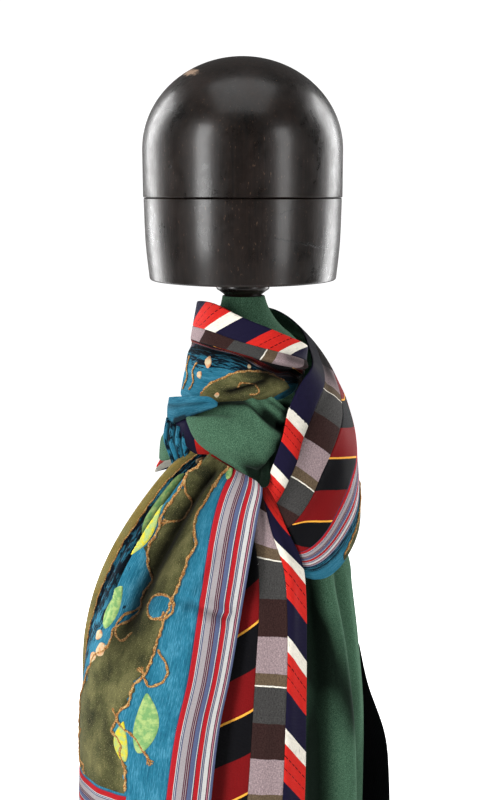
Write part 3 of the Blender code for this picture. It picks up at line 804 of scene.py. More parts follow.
def band_stops(widths):
    """Ramp stops, and their whole width, from (width, colour) pairs."""
    total = sum(width for width, _ in widths)
    place = 0.0
    stops = []
    for width, colour in widths:
        stops.append((place / total, colour))
        place += width
    return stops, total


def colours():
    """The cravat's colours, as set in the sidebar."""
    return bpy.context.scene.cravat_colours


def tone(name):
    """One of those colours."""
    return tuple(getattr(colours(), name))


def club_stripe():
    """Navy silk with slanting cream and red stripes, the red with two broken lines."""
    cream_width = 14
    line_width = 1.2
    line_starts = (24.5, 36.0)
    dash_pitch = 3.6
    dash_share = 0.70
    g = Graph("club_stripe", 0.62, 0.04)
    x, y = g.cloth_place()
    slant = g.add(x, g.times(g.noise(x, y, size=(4, 4, 1)), 0.7))
    stops, period = band_stops([(cream_width, tone("cream")), (35, tone("red")), (34, tone("navy"))])
    place = g.repeat(slant, period)
    colour = g.ramp(place, stops, hard=True)
    slub = g.noise(x, y, size=(7, 0.8, 1), detail=3.0)
    cream = g.ramp(place, [(0.0, MASK_ON), (cream_width / period, MASK_OFF)], hard=True)
    colour = g.mix(g.times(cream, g.share(slub, 0.58, 0.74)), colour, tone("slub"))
    lines = [(0.0, MASK_OFF)]
    for start in line_starts:
        lines += [(start / period, MASK_ON), ((start + line_width) / period, MASK_OFF)]
    lines = g.ramp(place, lines, hard=True)
    broken = g.maths("LESS_THAN", g.repeat(y, dash_pitch), dash_share)
    colour = g.mix(g.times(lines, broken), colour, tone("ink"))
    fine = g.noise(x, y, size=(0.9, 0.9, 1), detail=1.0)
    streak = g.noise(slant, y, size=(0.8, 7, 1), detail=2.0)
    colour = g.melange(g.melange(colour, fine, 0.18), streak, 0.28)
    g.bump(g.add(g.twill(x, y, 1.3), g.times(streak, 0.8)), 0.10)
    g.sheen(0.01)
    return g.done(colour)


def grey_block():
    """Fine suiting in broad bands across the strip, with one thin white line."""
    g = Graph("grey_block", 0.75)
    x, y = g.cloth_place()
    wobble = g.times(g.noise(x, y, size=(6, 6, 1)), 0.8)
    widths = [
        (31.5, tone("mauve")),
        (10.5, tone("drab")),
        (1.3, tone("cream")),
        (32.0, tone("grey")),
        (32.0, tone("brown")),
    ]
    stops, period = band_stops(widths)
    colour = g.ramp(g.repeat(g.add(x, wobble), period), stops, hard=True)
    fine = g.noise(x, y, size=(1.3, 1.3, 1), detail=2.0, rough=0.7)
    fleck = g.noise(x, y, size=(3.2, 1.2, 1), detail=3.0)
    colour = g.melange(g.melange(colour, fine, 1.0), fleck, 0.45)
    g.bump(g.add(g.weave(x, y, 1.1), fine), 0.10)
    g.sheen(0.02)
    return g.done(colour)


def burgundy():
    """Satin bands of burgundy and black, with a fine gold line where they meet."""
    band_width = 35.0
    line_width = 2.1
    g = Graph("burgundy", 0.60, 0.04)
    x, y = g.cloth_place()
    widths = [(band_width, tone("burgundy")), (line_width, tone("gold")), (36.5, tone("black"))]
    stops, period = band_stops(widths)
    place = g.repeat(g.add(x, g.times(g.noise(x, y, size=(5, 5, 1)), 0.6)), period)
    colour = g.ramp(place, stops, hard=True)
    fine = g.noise(x, y, size=(0.8, 0.8, 1), detail=2.0)
    rib = g.twill(x, g.times(y, -0.6), 1.2)
    colour = g.melange(colour, fine, 0.26)
    line_end = (band_width + line_width) / period
    line = g.ramp(place, [(0, MASK_OFF), (band_width / period, MASK_ON), (line_end, MASK_OFF)], hard=True)
    cord = g.twill(g.times(x, -0.4), y, 1.5)
    g.bump(g.add(g.add(rib, fine), g.times(line, g.add(cord, 1.5))), 0.12)
    g.sheen(0.01)
    return g.done(colour)


def ribbon_widths():
    """The ribbon's lines from its left edge, each with its width."""
    red = tone("ribbon_red")
    pale = tone("pale")
    blue = tone("blue_line")
    wine = tone("wine")
    lilac = tone("lilac")
    white = tone("white")
    return [
        (0.7, blue), (4.6, red), (0.6, white), (0.9, blue), (0.5, white), (0.9, blue), (0.7, pale),
        (4.2, pale), (0.9, wine), (0.6, pale), (1.0, wine), (0.7, pale), (0.9, wine),
        (4.2, lilac), (0.6, white), (0.8, wine), (3.9, red), (0.6, white), (0.9, blue),
        (0.6, pale), (0.9, blue), (3.6, white), (0.9, wine), (0.9, tone("pink")), (0.9, wine),
        (0.6, white), (3.2, lilac), (0.9, wine),
    ]


def ribbon():
    """Woven ribbon in fine lengthwise lines."""
    g = Graph("ribbon", 0.78)
    x, y = g.cloth_place()
    stops, period = band_stops(ribbon_widths())
    wander = g.times(g.noise(x, y, size=(22, 22, 1)), 0.5)
    place = g.share(g.add(y, wander), 0.0, period)
    colour = g.ramp(place, stops, hard=True)
    fine = g.noise(x, y, size=(1.6, 0.7, 1), detail=2.0, rough=0.7)
    colour = g.melange(colour, fine, 0.34)
    warp = g.maths("SINE", g.times(y, 2 * math.pi / 1.1))
    g.bump(g.add(g.add(g.times(warp, 0.3), g.weave(x, y, 0.9)), fine), 0.12)
    g.sheen(0.01)
    return g.done(colour)


def teal_cloth(name, dyed):
    """Slubby teal cloth, streaked along its length, with blue-black dye by its worked side."""
    g = Graph(name, 0.85, 0.03)
    x, y = g.cloth_place()
    streak = g.noise(x, y, size=(18, 0.8, 1), detail=3.0, rough=0.6)
    thread = g.noise(x, y, size=(5, 0.7, 1), detail=1.0)
    broad = g.noise(x, y, size=(30, 16, 1), detail=2.0)
    fine = g.noise(x, y, size=(0.8, 0.8, 1), detail=1.0)
    body = g.add(g.times(streak, 0.5), g.add(g.times(thread, 0.25), g.times(broad, 0.25)))
    stops = [(0.32, tone("deep_teal")), (0.50, tone("teal")), (0.66, tone("pale_teal"))]
    colour = g.ramp(body, stops)
    if dyed != "plain":
        blot = g.noise(x, y, size=(9, 4, 1), detail=4.0, rough=0.65)
        wave = g.noise(x, y, size=(26, 9, 1), detail=2.0)
        side = g.share(y, 92.0, 44.0) if dyed == "worked side" else 0.8
        edge = g.add(g.add(g.times(blot, 0.6), g.times(wave, 0.4)), g.times(side, 0.20))
        colour = g.mix(g.share(edge, 0.64, 0.70), colour, tone("blue_black"))
    colour = g.melange(colour, fine, 0.30)
    g.bump(g.add(g.add(g.weave(x, y, 1.2), g.times(streak, 1.4)), thread), 0.18)
    g.sheen(0.02)
    return g.done(colour)


def olive_cloth(name, first, second, third):
    """Brushed cloth with pale flecks and darker rubbed patches."""
    g = Graph(name, 0.88, 0.03)
    x, y = g.cloth_place()
    broad = g.noise(x, y, size=(30, 18, 1), detail=3.0, rough=0.6)
    fleck = g.noise(x, y, size=(0.9, 0.9, 1), detail=2.0, rough=0.7)
    thread = g.noise(x, y, size=(6, 0.8, 1), detail=1.0)
    colour = g.ramp(broad, [(0.32, tone(first)), (0.50, tone(second)), (0.70, tone(third))])
    colour = g.mix(g.times(g.share(fleck, 0.60, 0.80), 0.8), colour, tone("straw"))
    colour = g.melange(g.melange(colour, fleck, 0.40), thread, 0.25)
    g.bump(g.add(g.weave(x, y, 1.2), fleck), 0.16)
    g.sheen(0.03)
    return g.done(colour)


def green_lining():
    """Dark forest green wool melange, matte with a soft nap."""
    g = Graph("green_lining", 0.9, 0.02)
    x, y, z = g.solid_place()
    fine = g.noise(x, y, z, size=(0.75, 0.75, 0.75), detail=2.0, rough=0.6)
    cloud = g.noise(x, y, z, size=(18, 18, 18), detail=2.0)
    colour = g.ramp(fine, [(0.32, tone("dark_green")), (0.50, tone("green")), (0.70, tone("pale_green"))])
    colour = g.melange(colour, cloud, 0.15)
    g.bump(fine, 0.06)
    g.sheen(0.04, tint=(0.8, 1.0, 0.9))
    return g.done(colour)


def small_patch(name, first, second):
    """Felted cloth of the leaves and buds, in two tones."""
    g = Graph(name, 0.85, 0.03)
    x, y = g.cloth_place()
    fine = g.noise(x, y, size=(1.0, 1.0, 1), detail=2.0, rough=0.7)
    broad = g.noise(x, y, size=(5, 5, 1), detail=2.0)
    colour = g.mix(g.share(broad, 0.42, 0.60), tone(first), tone(second))
    g.bump(fine, 0.15)
    g.sheen(0.02)
    return g.done(g.melange(colour, fine, 0.35))


def couched_yarn():
    """Tan yarn with darker plies."""
    g = Graph("couched_yarn", 0.8, 0.1)
    x, y, z = g.solid_place()
    ply = g.noise(x, y, z, size=(1.2, 1.2, 1.2), detail=2.0, rough=0.7)
    cloud = g.noise(x, y, z, size=(16, 16, 16), detail=2.0)
    colour = g.ramp(ply, [(0.36, tone("dark_tan")), (0.50, tone("tan")), (0.68, tone("straw"))])
    g.bump(ply, 0.25)
    g.sheen(0.02)
    return g.done(g.melange(colour, cloud, 0.35))


# Hairline cracks in the block: height at x = 0, rise per millimetre, x limits, thickness.
Crack = namedtuple("Crack", "z rise left right thick")
CRACKS = [
    Crack(728.0, -0.21, 26.0, 72.0, 0.45),
    Crack(733.0, 0.30, 30.0, 50.0, 0.30),
    Crack(804.0, -0.35, -70.0, -52.0, 0.25),
]
CRACK_WAVER = 7.0  # how far a crack strays, and over what length
CRACK_SOFT = 2.2  # a crack fades out at this many times its thickness
# Small nail holes in the block's front: x and z, and the radii inside which they are
# dark and outside which they end.
PIN_HOLES = [(45.5, 806.0), (79.0, 745.5), (45.0, 693.0), (-58.0, 779.0), (12.0, 846.0)]
PIN_RADII = (0.9, 1.5)
# The chipped patch on the crown: its middle, how much wider than tall it is, its radii
# as above and how ragged it is.
CHIP_X = -43.0
CHIP_Z = 856.0
CHIP_WIDE = 2.2
CHIP_RADII = (15.0, 19.0)
CHIP_RAGGED = 22.0


def dark_wood(name, cracked):
    """Stained, waxed wood with upright tool marks, cracks and nail holes."""
    look = bpy.context.scene.cravat_stand
    g = Graph(name, look.roughness, 0.14, takes_painted_shade=False)
    x, y, z = g.solid_place()
    grain = g.noise(x, y, z, size=(2.0, 2.0, 70), detail=4.0, rough=0.65)
    cloud = g.noise(x, y, z, size=(26, 26, 40), detail=4.0, rough=0.65)
    nick = g.noise(x, y, z, size=(1.4, 1.4, 4.0), detail=2.0, rough=0.6)
    rub = g.noise(x, y, z, size=(7, 7, 9), detail=4.0, rough=0.7)
    colour = g.mix(g.share(g.add(g.times(grain, 0.4), g.times(cloud, 0.6)), 0.38, 0.64),
                   tuple(look.dark), tuple(look.warm))
    colour = g.mix(g.times(g.share(nick, 0.66, 0.76), 0.6), colour, tuple(look.worn))
    colour = g.mix(g.times(g.share(rub, 0.70, 0.76), 0.5), colour, tuple(look.worn))
    height = g.add(g.add(g.times(grain, 0.4), g.times(nick, 0.4)), g.times(rub, 0.5))
    if cracked:
        gaps = 0.0
        stray = g.noise(x, y, z, size=(CRACK_WAVER, CRACK_WAVER, CRACK_WAVER), detail=4.0, rough=0.7)
        waver = g.times(g.add(stray, -0.5), CRACK_WAVER)
        front = g.maths("LESS_THAN", y, 0.0)
        for crack in CRACKS:
            line = g.add(g.times(x, crack.rise), crack.z)
            off = g.maths("ABSOLUTE", g.add(g.add(z, waver), g.times(line, -1.0)))
            thin = g.share(off, crack.thick * CRACK_SOFT, crack.thick)
            inside = g.times(g.maths("GREATER_THAN", x, crack.left), g.maths("LESS_THAN", x, crack.right))
            gaps = g.maths("MAXIMUM", gaps, g.times(g.times(thin, inside), front))
        for hole_x, hole_z in PIN_HOLES:
            away = g.reach(g.add(x, -hole_x), g.add(z, -hole_z))
            gaps = g.maths("MAXIMUM", gaps, g.times(g.share(away, PIN_RADII[1], PIN_RADII[0]), front))
        away = g.reach(g.add(x, -CHIP_X), g.times(g.add(z, -CHIP_Z), CHIP_WIDE))
        ragged = g.add(away, g.times(rub, CHIP_RAGGED))
        bare = g.times(g.share(ragged, CHIP_RADII[1], CHIP_RADII[0]), front)
        colour = g.mix(g.times(bare, 0.9), colour, tuple(look.bare))
        colour = g.mix(gaps, colour, tuple(look.crack))
        height = g.add(height, g.times(gaps, -0.6))
    blotch = g.share(g.add(g.times(cloud, 0.6), g.times(rub, 0.4)), 0.40, 0.60)
    g.put(g.shader.inputs["Roughness"], g.add(g.times(blotch, 0.22), look.roughness - 0.08))
    g.shader.inputs["Coat Weight"].default_value = look.wax
    g.shader.inputs["Coat Roughness"].default_value = 0.22
    g.bump(height, 0.30, 0.8)
    return g.done(colour)


FINISH_MAKERS = {
    "club_stripe": club_stripe,
    "grey_block": grey_block,
    "burgundy": burgundy,
    "ribbon": ribbon,
    "applique": lambda: teal_cloth("applique", "worked side"),
    "teal_dyed": lambda: teal_cloth("teal_dyed", "all over"),
    "teal_plain": lambda: teal_cloth("teal_plain", "plain"),
    "olive_cloth": lambda: olive_cloth("olive_cloth", "dark_olive", "olive", "pale_olive"),
    "rim_cloth": lambda: olive_cloth("rim_cloth", "olive", "old_gold", "pale_olive"),
    "green_lining": green_lining,
    "leaf": lambda: small_patch("leaf", "leaf", "pale_leaf"),
    "lemon": lambda: small_patch("lemon", "lemon", "pale_leaf"),
    "bud": lambda: small_patch("bud", "ecru", "peach"),
    "couched_yarn": couched_yarn,
    "block_wood": lambda: dark_wood("block_wood", True),
    "stand_wood": lambda: dark_wood("stand_wood", False),
}
FINISHES = {}


def finish(name):
    """A finish, made when it is first asked for."""
    if name not in FINISHES:
        FINISHES[name] = FINISH_MAKERS[name]()
    return FINISHES[name]


def link_mesh(name, points, faces, looks, slots=None, place=None, crease=None):
    """An object from points in millimetres, with each face's finish and each point's
    place on the flat cloth and painted shade."""
    mesh = bpy.data.meshes.new(name)
    mesh.from_pydata((np.asarray(points) * MM).tolist(), [], faces)
    for look in looks:
        mesh.materials.append(finish(look))
    if slots is not None:
        mesh.polygons.foreach_set("material_index", slots)
    if place is not None:
        layer = mesh.uv_layers.new(name=CLOTH_UV)
        corner = np.empty(len(mesh.loops), dtype=int)
        mesh.loops.foreach_get("vertex_index", corner)
        layer.data.foreach_set("uv", (np.asarray(place)[corner] * MM).ravel())
    if crease is not None:
        mesh.attributes.new(PAINTED_SHADE_NAME, "FLOAT", "POINT").data.foreach_set("value", crease)
    mesh.shade_smooth()
    mesh.set_sharp_from_angle(angle=SHARP_CLOTH)
    made = bpy.data.objects.new(name, mesh)
    bpy.context.collection.objects.link(made)
    return made


def wall_faces(rows, columns, closed):
    """Quads of a wall and the finish of each: 0 on the outer side, 1 on the inner."""
    count = rows * columns
    spans = rows if closed else rows - 1
    faces = []
    slots = []
    for i in range(spans):
        for j in range(columns - 1):
            a = i * columns + j
            b = (i + 1) % rows * columns + j
            faces.append((a, b, b + 1, a + 1))
            faces.append((count + a, count + a + 1, count + b + 1, count + b))
            slots += [0, 1]
    border = []
    for i in range(spans):
        a = i * columns
        b = (i + 1) % rows * columns
        border.append((a, b))
        border.append((b + columns - 1, a + columns - 1))
    if not closed:
        for j in range(columns - 1):
            border.append((j + 1, j))
            border.append(((rows - 1) * columns + j, (rows - 1) * columns + j + 1))
    for a, b in border:
        faces.append((b, a, count + a, count + b))
        slots.append(0)
    return faces, slots


def faces_out(made):
    """Turns every face outwards."""
    body = bmesh.new()
    body.from_mesh(made.data)
    bmesh.ops.recalc_face_normals(body, faces=body.faces)
    body.to_mesh(made.data)
    body.free()


def across_grid(low, high, steps, turned_share):
    """Shares across a strip for each row, with two narrow steps at each turned edge."""
    inner = np.linspace(0.0, 1.0, steps + 1)[1:-1]
    rows = []
    for a, b, turn in zip(low, high, turned_share):
        turn = min(turn, 0.5 / (steps + 1))
        edge = np.array([0.0, EDGE_ROW * turn, turn])
        share = np.concatenate([edge, inner, 1 - edge[::-1]])
        rows.append(a + (b - a) * np.sort(share))
    return np.array(rows)


def shell(name, cloth, u, low, high, steps, looks, cut, lay=PLAIN_LAY, closed=False):
    """A thin shell of cloth over part of a stretch, with soft turned edges."""
    sizes = bpy.context.scene.cravat_sizes
    widths = np.maximum(cloth.width_at(u) * (high - low), 1.0)
    grid = across_grid(low, high, steps, sizes.turned_edge / MM / widths)
    columns = grid.shape[1]
    flat_u = np.repeat(u, columns)
    flat_v = grid.ravel()
    outer = cloth.outer(flat_u, flat_v)
    square = normals(cloth.outer, flat_u, flat_v)
    thick = sizes.thickness / MM
    drop = np.zeros(columns)
    for row, share in enumerate(EDGE_DROPS):
        drop[[row, -1 - row]] = share * thick
    drop = np.tile(drop, len(u))[:, None]
    outer = outer - square * drop
    inner = outer - square * (thick - drop)
    middle = cloth.outer(u, (low + high) / 2)
    if closed:
        along = u * np.sum(np.linalg.norm(middle - np.roll(middle, 1, axis=0), axis=1))
    else:
        along = np.concatenate([[0.0], np.cumsum(np.linalg.norm(np.diff(middle, axis=0), axis=1))])
    across = ((grid - low[:, None]) / (high - low)[:, None]).ravel() * cut
    run = np.repeat(along, columns) * lay.along + across * lay.across + lay.start
    run = np.where(run < 0, run * lay.before, run)
    place = np.stack([run, across], axis=1)
    faces, slots = wall_faces(len(u), columns, closed)
    points = np.concatenate([outer, inner])
    # painted shade of the cloth at each point, on both sides
    crease = np.tile(cloth.crease(flat_u, flat_v), 2)
    made = link_mesh(name, points, faces, looks, slots, np.concatenate([place, place]), crease)
    faces_out(made)
    reach = along[-1] if not closed else along[1] * len(u)
    rows = outer.reshape(len(u), columns, 3)
    spread = np.linalg.norm(np.diff(rows, axis=1), axis=2).sum(axis=1)
    return made, (float(np.mean(spread)), float(reach))


def own(made, node):
    """Makes a finished piece ride the body and hides the solid of the node it stands for."""
    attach(made, "root")
    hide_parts(node)


def dress(made, node):
    """Makes a finished sheet ride the body and hides the solid of the node it stands for."""
    own(made, node)


def strip_shell(prefix, cloth, u, seams, names, steps):
    """The strips of a stretch, side by side with a fine slit at each seam."""
    gap = SEAM_GAP / cloth.width_at(u)
    shares = smooth_rows(seams, u)
    made = {}
    for place, name in enumerate(names):
        low = shares[:, place - 1] + gap if place else np.zeros_like(u)
        high = shares[:, place] - gap if place < len(names) - 1 else np.ones_like(u)
        node = f"{prefix}_{name}"
        made[name] = shell(
            f"cravat_{node}", cloth, u, low, high, steps[place], (name, "green_lining"),
            STRIP_WIDTH[name], LAYS.get(node, PLAIN_LAY),
        )
    return made


def declare_strips(prefix, made):
    for name, (piece, flat) in made.items():
        dress(piece, f"{prefix}_{name}")


def on_cloth(cloth, flat_points, lift):
    """Places on a stretch for points given as millimetres along and across its cut."""
    flat_points = np.asarray(flat_points, dtype=float)
    u = np.clip(flat_points[:, 0] / cloth.length, STEP, 1 - STEP)
    v = np.clip(flat_points[:, 1] / cloth.width, STEP, 1 - STEP)
    return cloth.outer(u, v) + normals(cloth.outer, u, v) * np.asarray(lift).reshape(-1, 1)


def flat_painted_shade(cloth, flat_points):
    """Painted shade at points given as millimetres along and across the cut."""
    flat_points = np.asarray(flat_points, dtype=float)
    return cloth.crease(flat_points[:, 0] / cloth.length, flat_points[:, 1] / cloth.width)


class Gathered:
    """Points, faces, UVs and painted shade of several small bodies that make one object."""

    def __init__(self):
        self.points = []
        self.faces = []
        self.places = []
        self.painted_shades = []
        self.count = 0

    def take(self, points, faces, places, painted_shades):
        """Adds one body."""
        self.points.append(points)
        self.painted_shades.append(painted_shades)
        self.faces += [tuple(index + self.count for index in face) for face in faces]
        self.places.append(places)
        self.count += len(points)

    def make(self, name, look):
        """The finished object, which rides the body."""
        made = link_mesh(
            name, np.concatenate(self.points), self.faces, (look,), None,
            np.concatenate(self.places), np.concatenate(self.painted_shades),
        )
        faces_out(made)
        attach(made, "root")
        return made


# Kinds of patch in the applique: finish, steps across and height.
Patch = namedtuple("Patch", "look steps height")
FRONT_PATCHES = {
    "vine": Patch("olive_cloth", 30, 0.7),
    "rim": Patch("rim_cloth", 12, 0.6),
    "band": Patch("ribbon", 14, 0.6),
    "window": Patch("teal_plain", 12, 1.0),
    "leaf": Patch("leaf", 12, 1.2),
    "lemon": Patch("lemon", 12, 1.2),
    "bud": Patch("bud", 10, 1.3),
}
NECK_PATCHES = {
    "vine": Patch("olive_cloth", 26, 0.8),
    "bud": Patch("bud", 10, 1.1),
}
PATCH_BACK = 0.04  # height of a patch's underside
PATCH_RIM = 0.25  # height of a patch at its side edges, as a share of its own
PATCH_END = 0.2  # the same at its ends
PATCH_ROLL = 0.15  # width of the row that rounds each side edge, in steps


def laid_patch(group, cloth, left, right, kind, ribbon_from=None):
    """A patch sewn on a stretch, between two edges given as flat points."""
    left = np.asarray(left, dtype=float)
    right = np.asarray(right, dtype=float)
    roll = PATCH_ROLL / kind.steps
    share = np.sort(np.concatenate([np.linspace(0.0, 1.0, kind.steps + 1), [roll, 1 - roll]]))
    flat = left[:, None, :] + (right - left)[:, None, :] * share[None, :, None]
    columns = len(share)
    rows = len(left)
    flat = flat.reshape(-1, 2)
    rim = np.minimum(np.tile(np.minimum(share, 1 - share), rows) * kind.steps, 1.0)
    ends = np.ones(rows)
    ends[[0, -1]] = PATCH_END
    lift = kind.height * (PATCH_RIM + (1 - PATCH_RIM) * ease(rim)) * np.repeat(ends, columns)
    top = on_cloth(cloth, flat, lift)
    under = on_cloth(cloth, flat, np.full(len(flat), PATCH_BACK))
    faces, _ = wall_faces(rows, columns, False)
    place = flat
    if ribbon_from is not None:
        place = np.stack([flat[:, 1], flat[:, 0] - ribbon_from], axis=1)
    # the patch takes the painted shade of the cloth under it
    crease = np.tile(flat_painted_shade(cloth, flat), 2)
    group.take(np.concatenate([top, under]), faces, np.concatenate([place, place]), crease)


def smooth_line(points, step):
    """Flat points on a smooth curve through a few given ones, about a step apart."""
    points = np.asarray(points, dtype=float)
    length = np.sum(np.linalg.norm(np.diff(points, axis=0), axis=1))
    count = max(int(length / step), 8)
    return smooth_rows(points, np.linspace(0.0, 1.0, count + 1))


# Waves that make yarn and edges uneven: height, radians to a step or a millimetre, and
# where each starts.
Wave = namedtuple("Wave", "height pitch start")
YARN_SWAY = [Wave(0.35, 0.9, 1), Wave(0.25, 0.37, 2)]
YARN_SWELL = [Wave(0.16, 0.53, 1)]
VINE_LEFT = [Wave(2.6, 0.17, 0), Wave(1.6, 0.41, 1), Wave(0.7, 0.9, 0)]
VINE_RIGHT = [Wave(2.8, 0.13, 2), Wave(1.8, 0.37, 0), Wave(0.8, 1.05, 0)]
VINE_INSET = 0.4  # least distance of a vine's edge from the strip's left edge


def waves(rows, x, phase=1.0):
    """Sum of the waves at x; another phase gives another run of the same kind."""
    total = 0.0
    for wave in rows:
        total = total + wave.height * np.sin(x * wave.pitch + wave.start * phase)
    return total


YARN_STEP = 1.3
YARN_SIDES = 8
YARN_SUNK = 0.75  # height of the yarn's middle, as a share of its radius
YARN_FLAT = 0.8  # its height as a share of its width
YARN_END = 0.35  # its radius at both ends, as a share
PLY_DEPTH = 0.20
PLY_TURN = 1.25  # how far the plies turn at each step, in radians


def yarn(group, cloth, line, radius, seed):
    """Two-ply yarn couched along a line of flat points, a little uneven."""
    flat = smooth_line(line, YARN_STEP)
    steps = np.arange(len(flat))
    sway = waves(YARN_SWAY, steps, seed)
    flat = flat + np.stack([np.zeros_like(sway), sway], axis=1)
    centre = on_cloth(cloth, flat, np.full(len(flat), radius * YARN_SUNK))
    square = unit(on_cloth(cloth, flat, np.full(len(flat), radius * 2)) - centre)
    ahead = unit(np.gradient(centre, axis=0))
    aside = unit(np.cross(ahead, square))
    angle = 2 * math.pi * np.arange(YARN_SIDES) / YARN_SIDES
    twist = 1.0 + PLY_DEPTH * np.cos(2 * angle[None, :] - steps[:, None] * PLY_TURN + seed)
    swell = radius * (1.0 + waves(YARN_SWELL, steps, seed))[:, None] * twist
    swell[[0, -1]] *= YARN_END
    ring = (
        aside[:, None, :] * np.cos(angle)[None, :, None]
        + square[:, None, :] * YARN_FLAT * np.sin(angle)[None, :, None]
    )
    points = (centre[:, None, :] + ring * swell[:, :, None]).reshape(-1, 3)
    faces = []
    for i in range(len(flat) - 1):
        for j in range(YARN_SIDES):
            a = i * YARN_SIDES + j
            b = i * YARN_SIDES + (j + 1) % YARN_SIDES
            faces.append((a, b, b + YARN_SIDES, a + YARN_SIDES))
    faces.append(tuple(range(YARN_SIDES)))
    faces.append(tuple((len(flat) - 1) * YARN_SIDES + j for j in reversed(range(YARN_SIDES))))
    places = np.stack([np.repeat(steps * YARN_STEP, YARN_SIDES), np.tile(angle, len(flat))], axis=1)
    # the yarn takes the painted shade of the cloth under it
    group.take(points, faces, places, np.repeat(flat_painted_shade(cloth, flat), YARN_SIDES))


LEAF_ENDS = (0.02, 0.98)  # shares of a leaf's length at its first and last row
LEAF_ROWS = 22
LEAF_LEAN = 0.8  # below 1 its widest place moves towards the root
LEAF_ROUND = 0.85  # below 1 its ends are rounder
BUD_ROWS = 18
BUD_END = 0.12  # angle of a bud's first row
BUD_UNEVEN = 0.12


def leaf_edges(root, tip, width, bend):
    """Both edges and the spine of a pointed leaf between two flat points."""
    root = np.asarray(root, dtype=float)
    tip = np.asarray(tip, dtype=float)
    share = np.linspace(*LEAF_ENDS, LEAF_ROWS)
    run = tip - root
    side = np.array([-run[1], run[0]]) / np.linalg.norm(run)
    spine = root + share[:, None] * run + side * (bend * np.sin(math.pi * share))[:, None]
    half = (width / 2 * np.sin(math.pi * share**LEAF_LEAN) ** LEAF_ROUND)[:, None]
    return spine + side * half, spine - side * half, spine


def disc_edges(centre, radius, tall=1.0):
    """Both edges of a bud, a round patch a little uneven, tall along y."""
    angle = np.linspace(BUD_END, math.pi - BUD_END, BUD_ROWS)
    x = centre[0] - radius * np.cos(angle)
    uneven = 1.0 + BUD_UNEVEN * np.sin(3.0 * angle + centre[0])
    half = radius * tall * np.sin(angle) * uneven
    return np.stack([x, centre[1] - half], 1), np.stack([x, centre[1] + half], 1)


# The applique on the front end, all in millimetres of flat cloth.  Its vine: how far
# down the end, the middle of the vine across it and half its width.
Vine = namedtuple("Vine", "x y half")
FRONT_VINE = [
    Vine(4, 62, 26),
    Vine(50, 70, 23),
    Vine(100, 76, 21),
    Vine(150, 88, 24),
    Vine(195, 104, 23),
    Vine(240, 96, 25),
    Vine(285, 80, 24),
    Vine(325, 78, 26),
    Vine(366, 92, 30),
]
FRONT_VINE_LOW = [
    Vine(409, 104, 27),
    Vine(445, 88, 26),
    Vine(480, 74, 28),
    Vine(516, 80, 34),
]
FRONT_RIM = [Vine(3, 11, 10), Vine(150, 10, 8.5), Vine(300, 9, 7.5), Vine(366, 8, 7)]
FRONT_RIBBON_X = 368.0
FRONT_RIBBON_WIDTH = 39.0
# Leaves: root and tip, width, bend and kind of patch.
Leaf = namedtuple("Leaf", "root tip width bend kind")
FRONT_LEAVES = [
    Leaf((154, 44), (88, 32), 22, 5, "leaf"),
    Leaf((168, 52), (120, 50), 13, -4, "lemon"),
    Leaf((236, 58), (192, 62), 20, 3, "leaf"),
    Leaf((332, 122), (276, 118), 19, -4, "leaf"),
    Leaf((340, 112), (306, 106), 11, 3, "lemon"),
    Leaf((66, 108), (34, 104), 12, 2, "leaf"),
    Leaf((470, 112), (426, 122), 20, 3, "leaf"),
]
# Buds, and windows of teal cloth in the vine: middle and radius.
FRONT_BUDS = [((58, 38), 9.5), ((252, 66), 6.0), ((262, 60), 4.5), ((243, 55), 4.5), ((500, 40), 8)]
FRONT_WINDOWS = [((198, 106), 12.0), ((452, 88), 11.0)]
# Free runs of yarn that curl off the vine, each ending in a little tassel.
FRONT_TENDRILS = [
    [(92, 52), (104, 62), (112, 74), (124, 76), (130, 68)],
    [(236, 116), (250, 128), (264, 128), (270, 118), (260, 112)],
    [(296, 96), (310, 104), (318, 116), (332, 128)],
    [(206, 82), (218, 72), (232, 72), (238, 82), (228, 88)],
    [(330, 62), (344, 54), (356, 58), (358, 70)],
    [(420, 80), (432, 66), (448, 60), (462, 54)],
    [(30, 92), (46, 98), (60, 92), (78, 96)],
]
# Tassels: where each starts and which way it runs.
FRONT_TASSELS = [
    ((332, 128), (1.0, 0.6)),
    ((358, 70), (1.0, 0.1)),
    ((78, 96), (1.0, 0.2)),
    ((130, 68), (0.6, -1.0)),
    ((260, 112), (-0.8, -0.8)),
    ((462, 54), (1.0, -0.4)),
]


def vine_edges(rows, width_limit, lobes=1.0, step=2.5):
    """Both edges of a vine, with uneven lobes, kept on the cloth."""
    table = np.asarray(rows, dtype=float)
    count = int((table[-1, 0] - table[0, 0]) / step)
    at = smooth_rows(table, np.linspace(0.0, 1.0, count + 1))
    x = at[:, 0]
    left = at[:, 1] - at[:, 2] - lobes * waves(VINE_LEFT, x)
    right = at[:, 1] + at[:, 2] + lobes * waves(VINE_RIGHT, x)
    return tuple(np.stack([x, np.clip(edge, VINE_INSET, width_limit)], axis=1) for edge in (left, right))


TASSEL_STRANDS = 5
TASSEL_REACH = 8.5
TASSEL_FAN = 0.22  # how far each strand leans from the next
TASSEL_KNOT = 1.5  # how far back the strands start


def tassel(group, cloth, root, run, radius):
    """A small knot of yarn with loose ends, the outer ones shorter."""
    root = np.asarray(root, dtype=float)
    run = unit(np.asarray(run, dtype=float))
    side = np.array([-run[1], run[0]])
    middle = TASSEL_STRANDS // 2
    for strand in range(TASSEL_STRANDS):
        lean = (strand - middle) * TASSEL_FAN
        reach = TASSEL_REACH - 0.9 * abs(strand - middle) + 0.6 * (strand % 2)
        line = [
            root - run * TASSEL_KNOT,
            root + (run + side * lean * 0.5) * reach * 0.5,
            root + (run + side * lean) * reach,
        ]
        yarn(group, cloth, line, radius, strand * 1.7)


RING_START = 0.3
RING_PAST = 1.1  # how far the yarn of a ring goes on after a full turn, in radians
RING_INWARD = 0.45  # share of its radius that it comes in for each of them


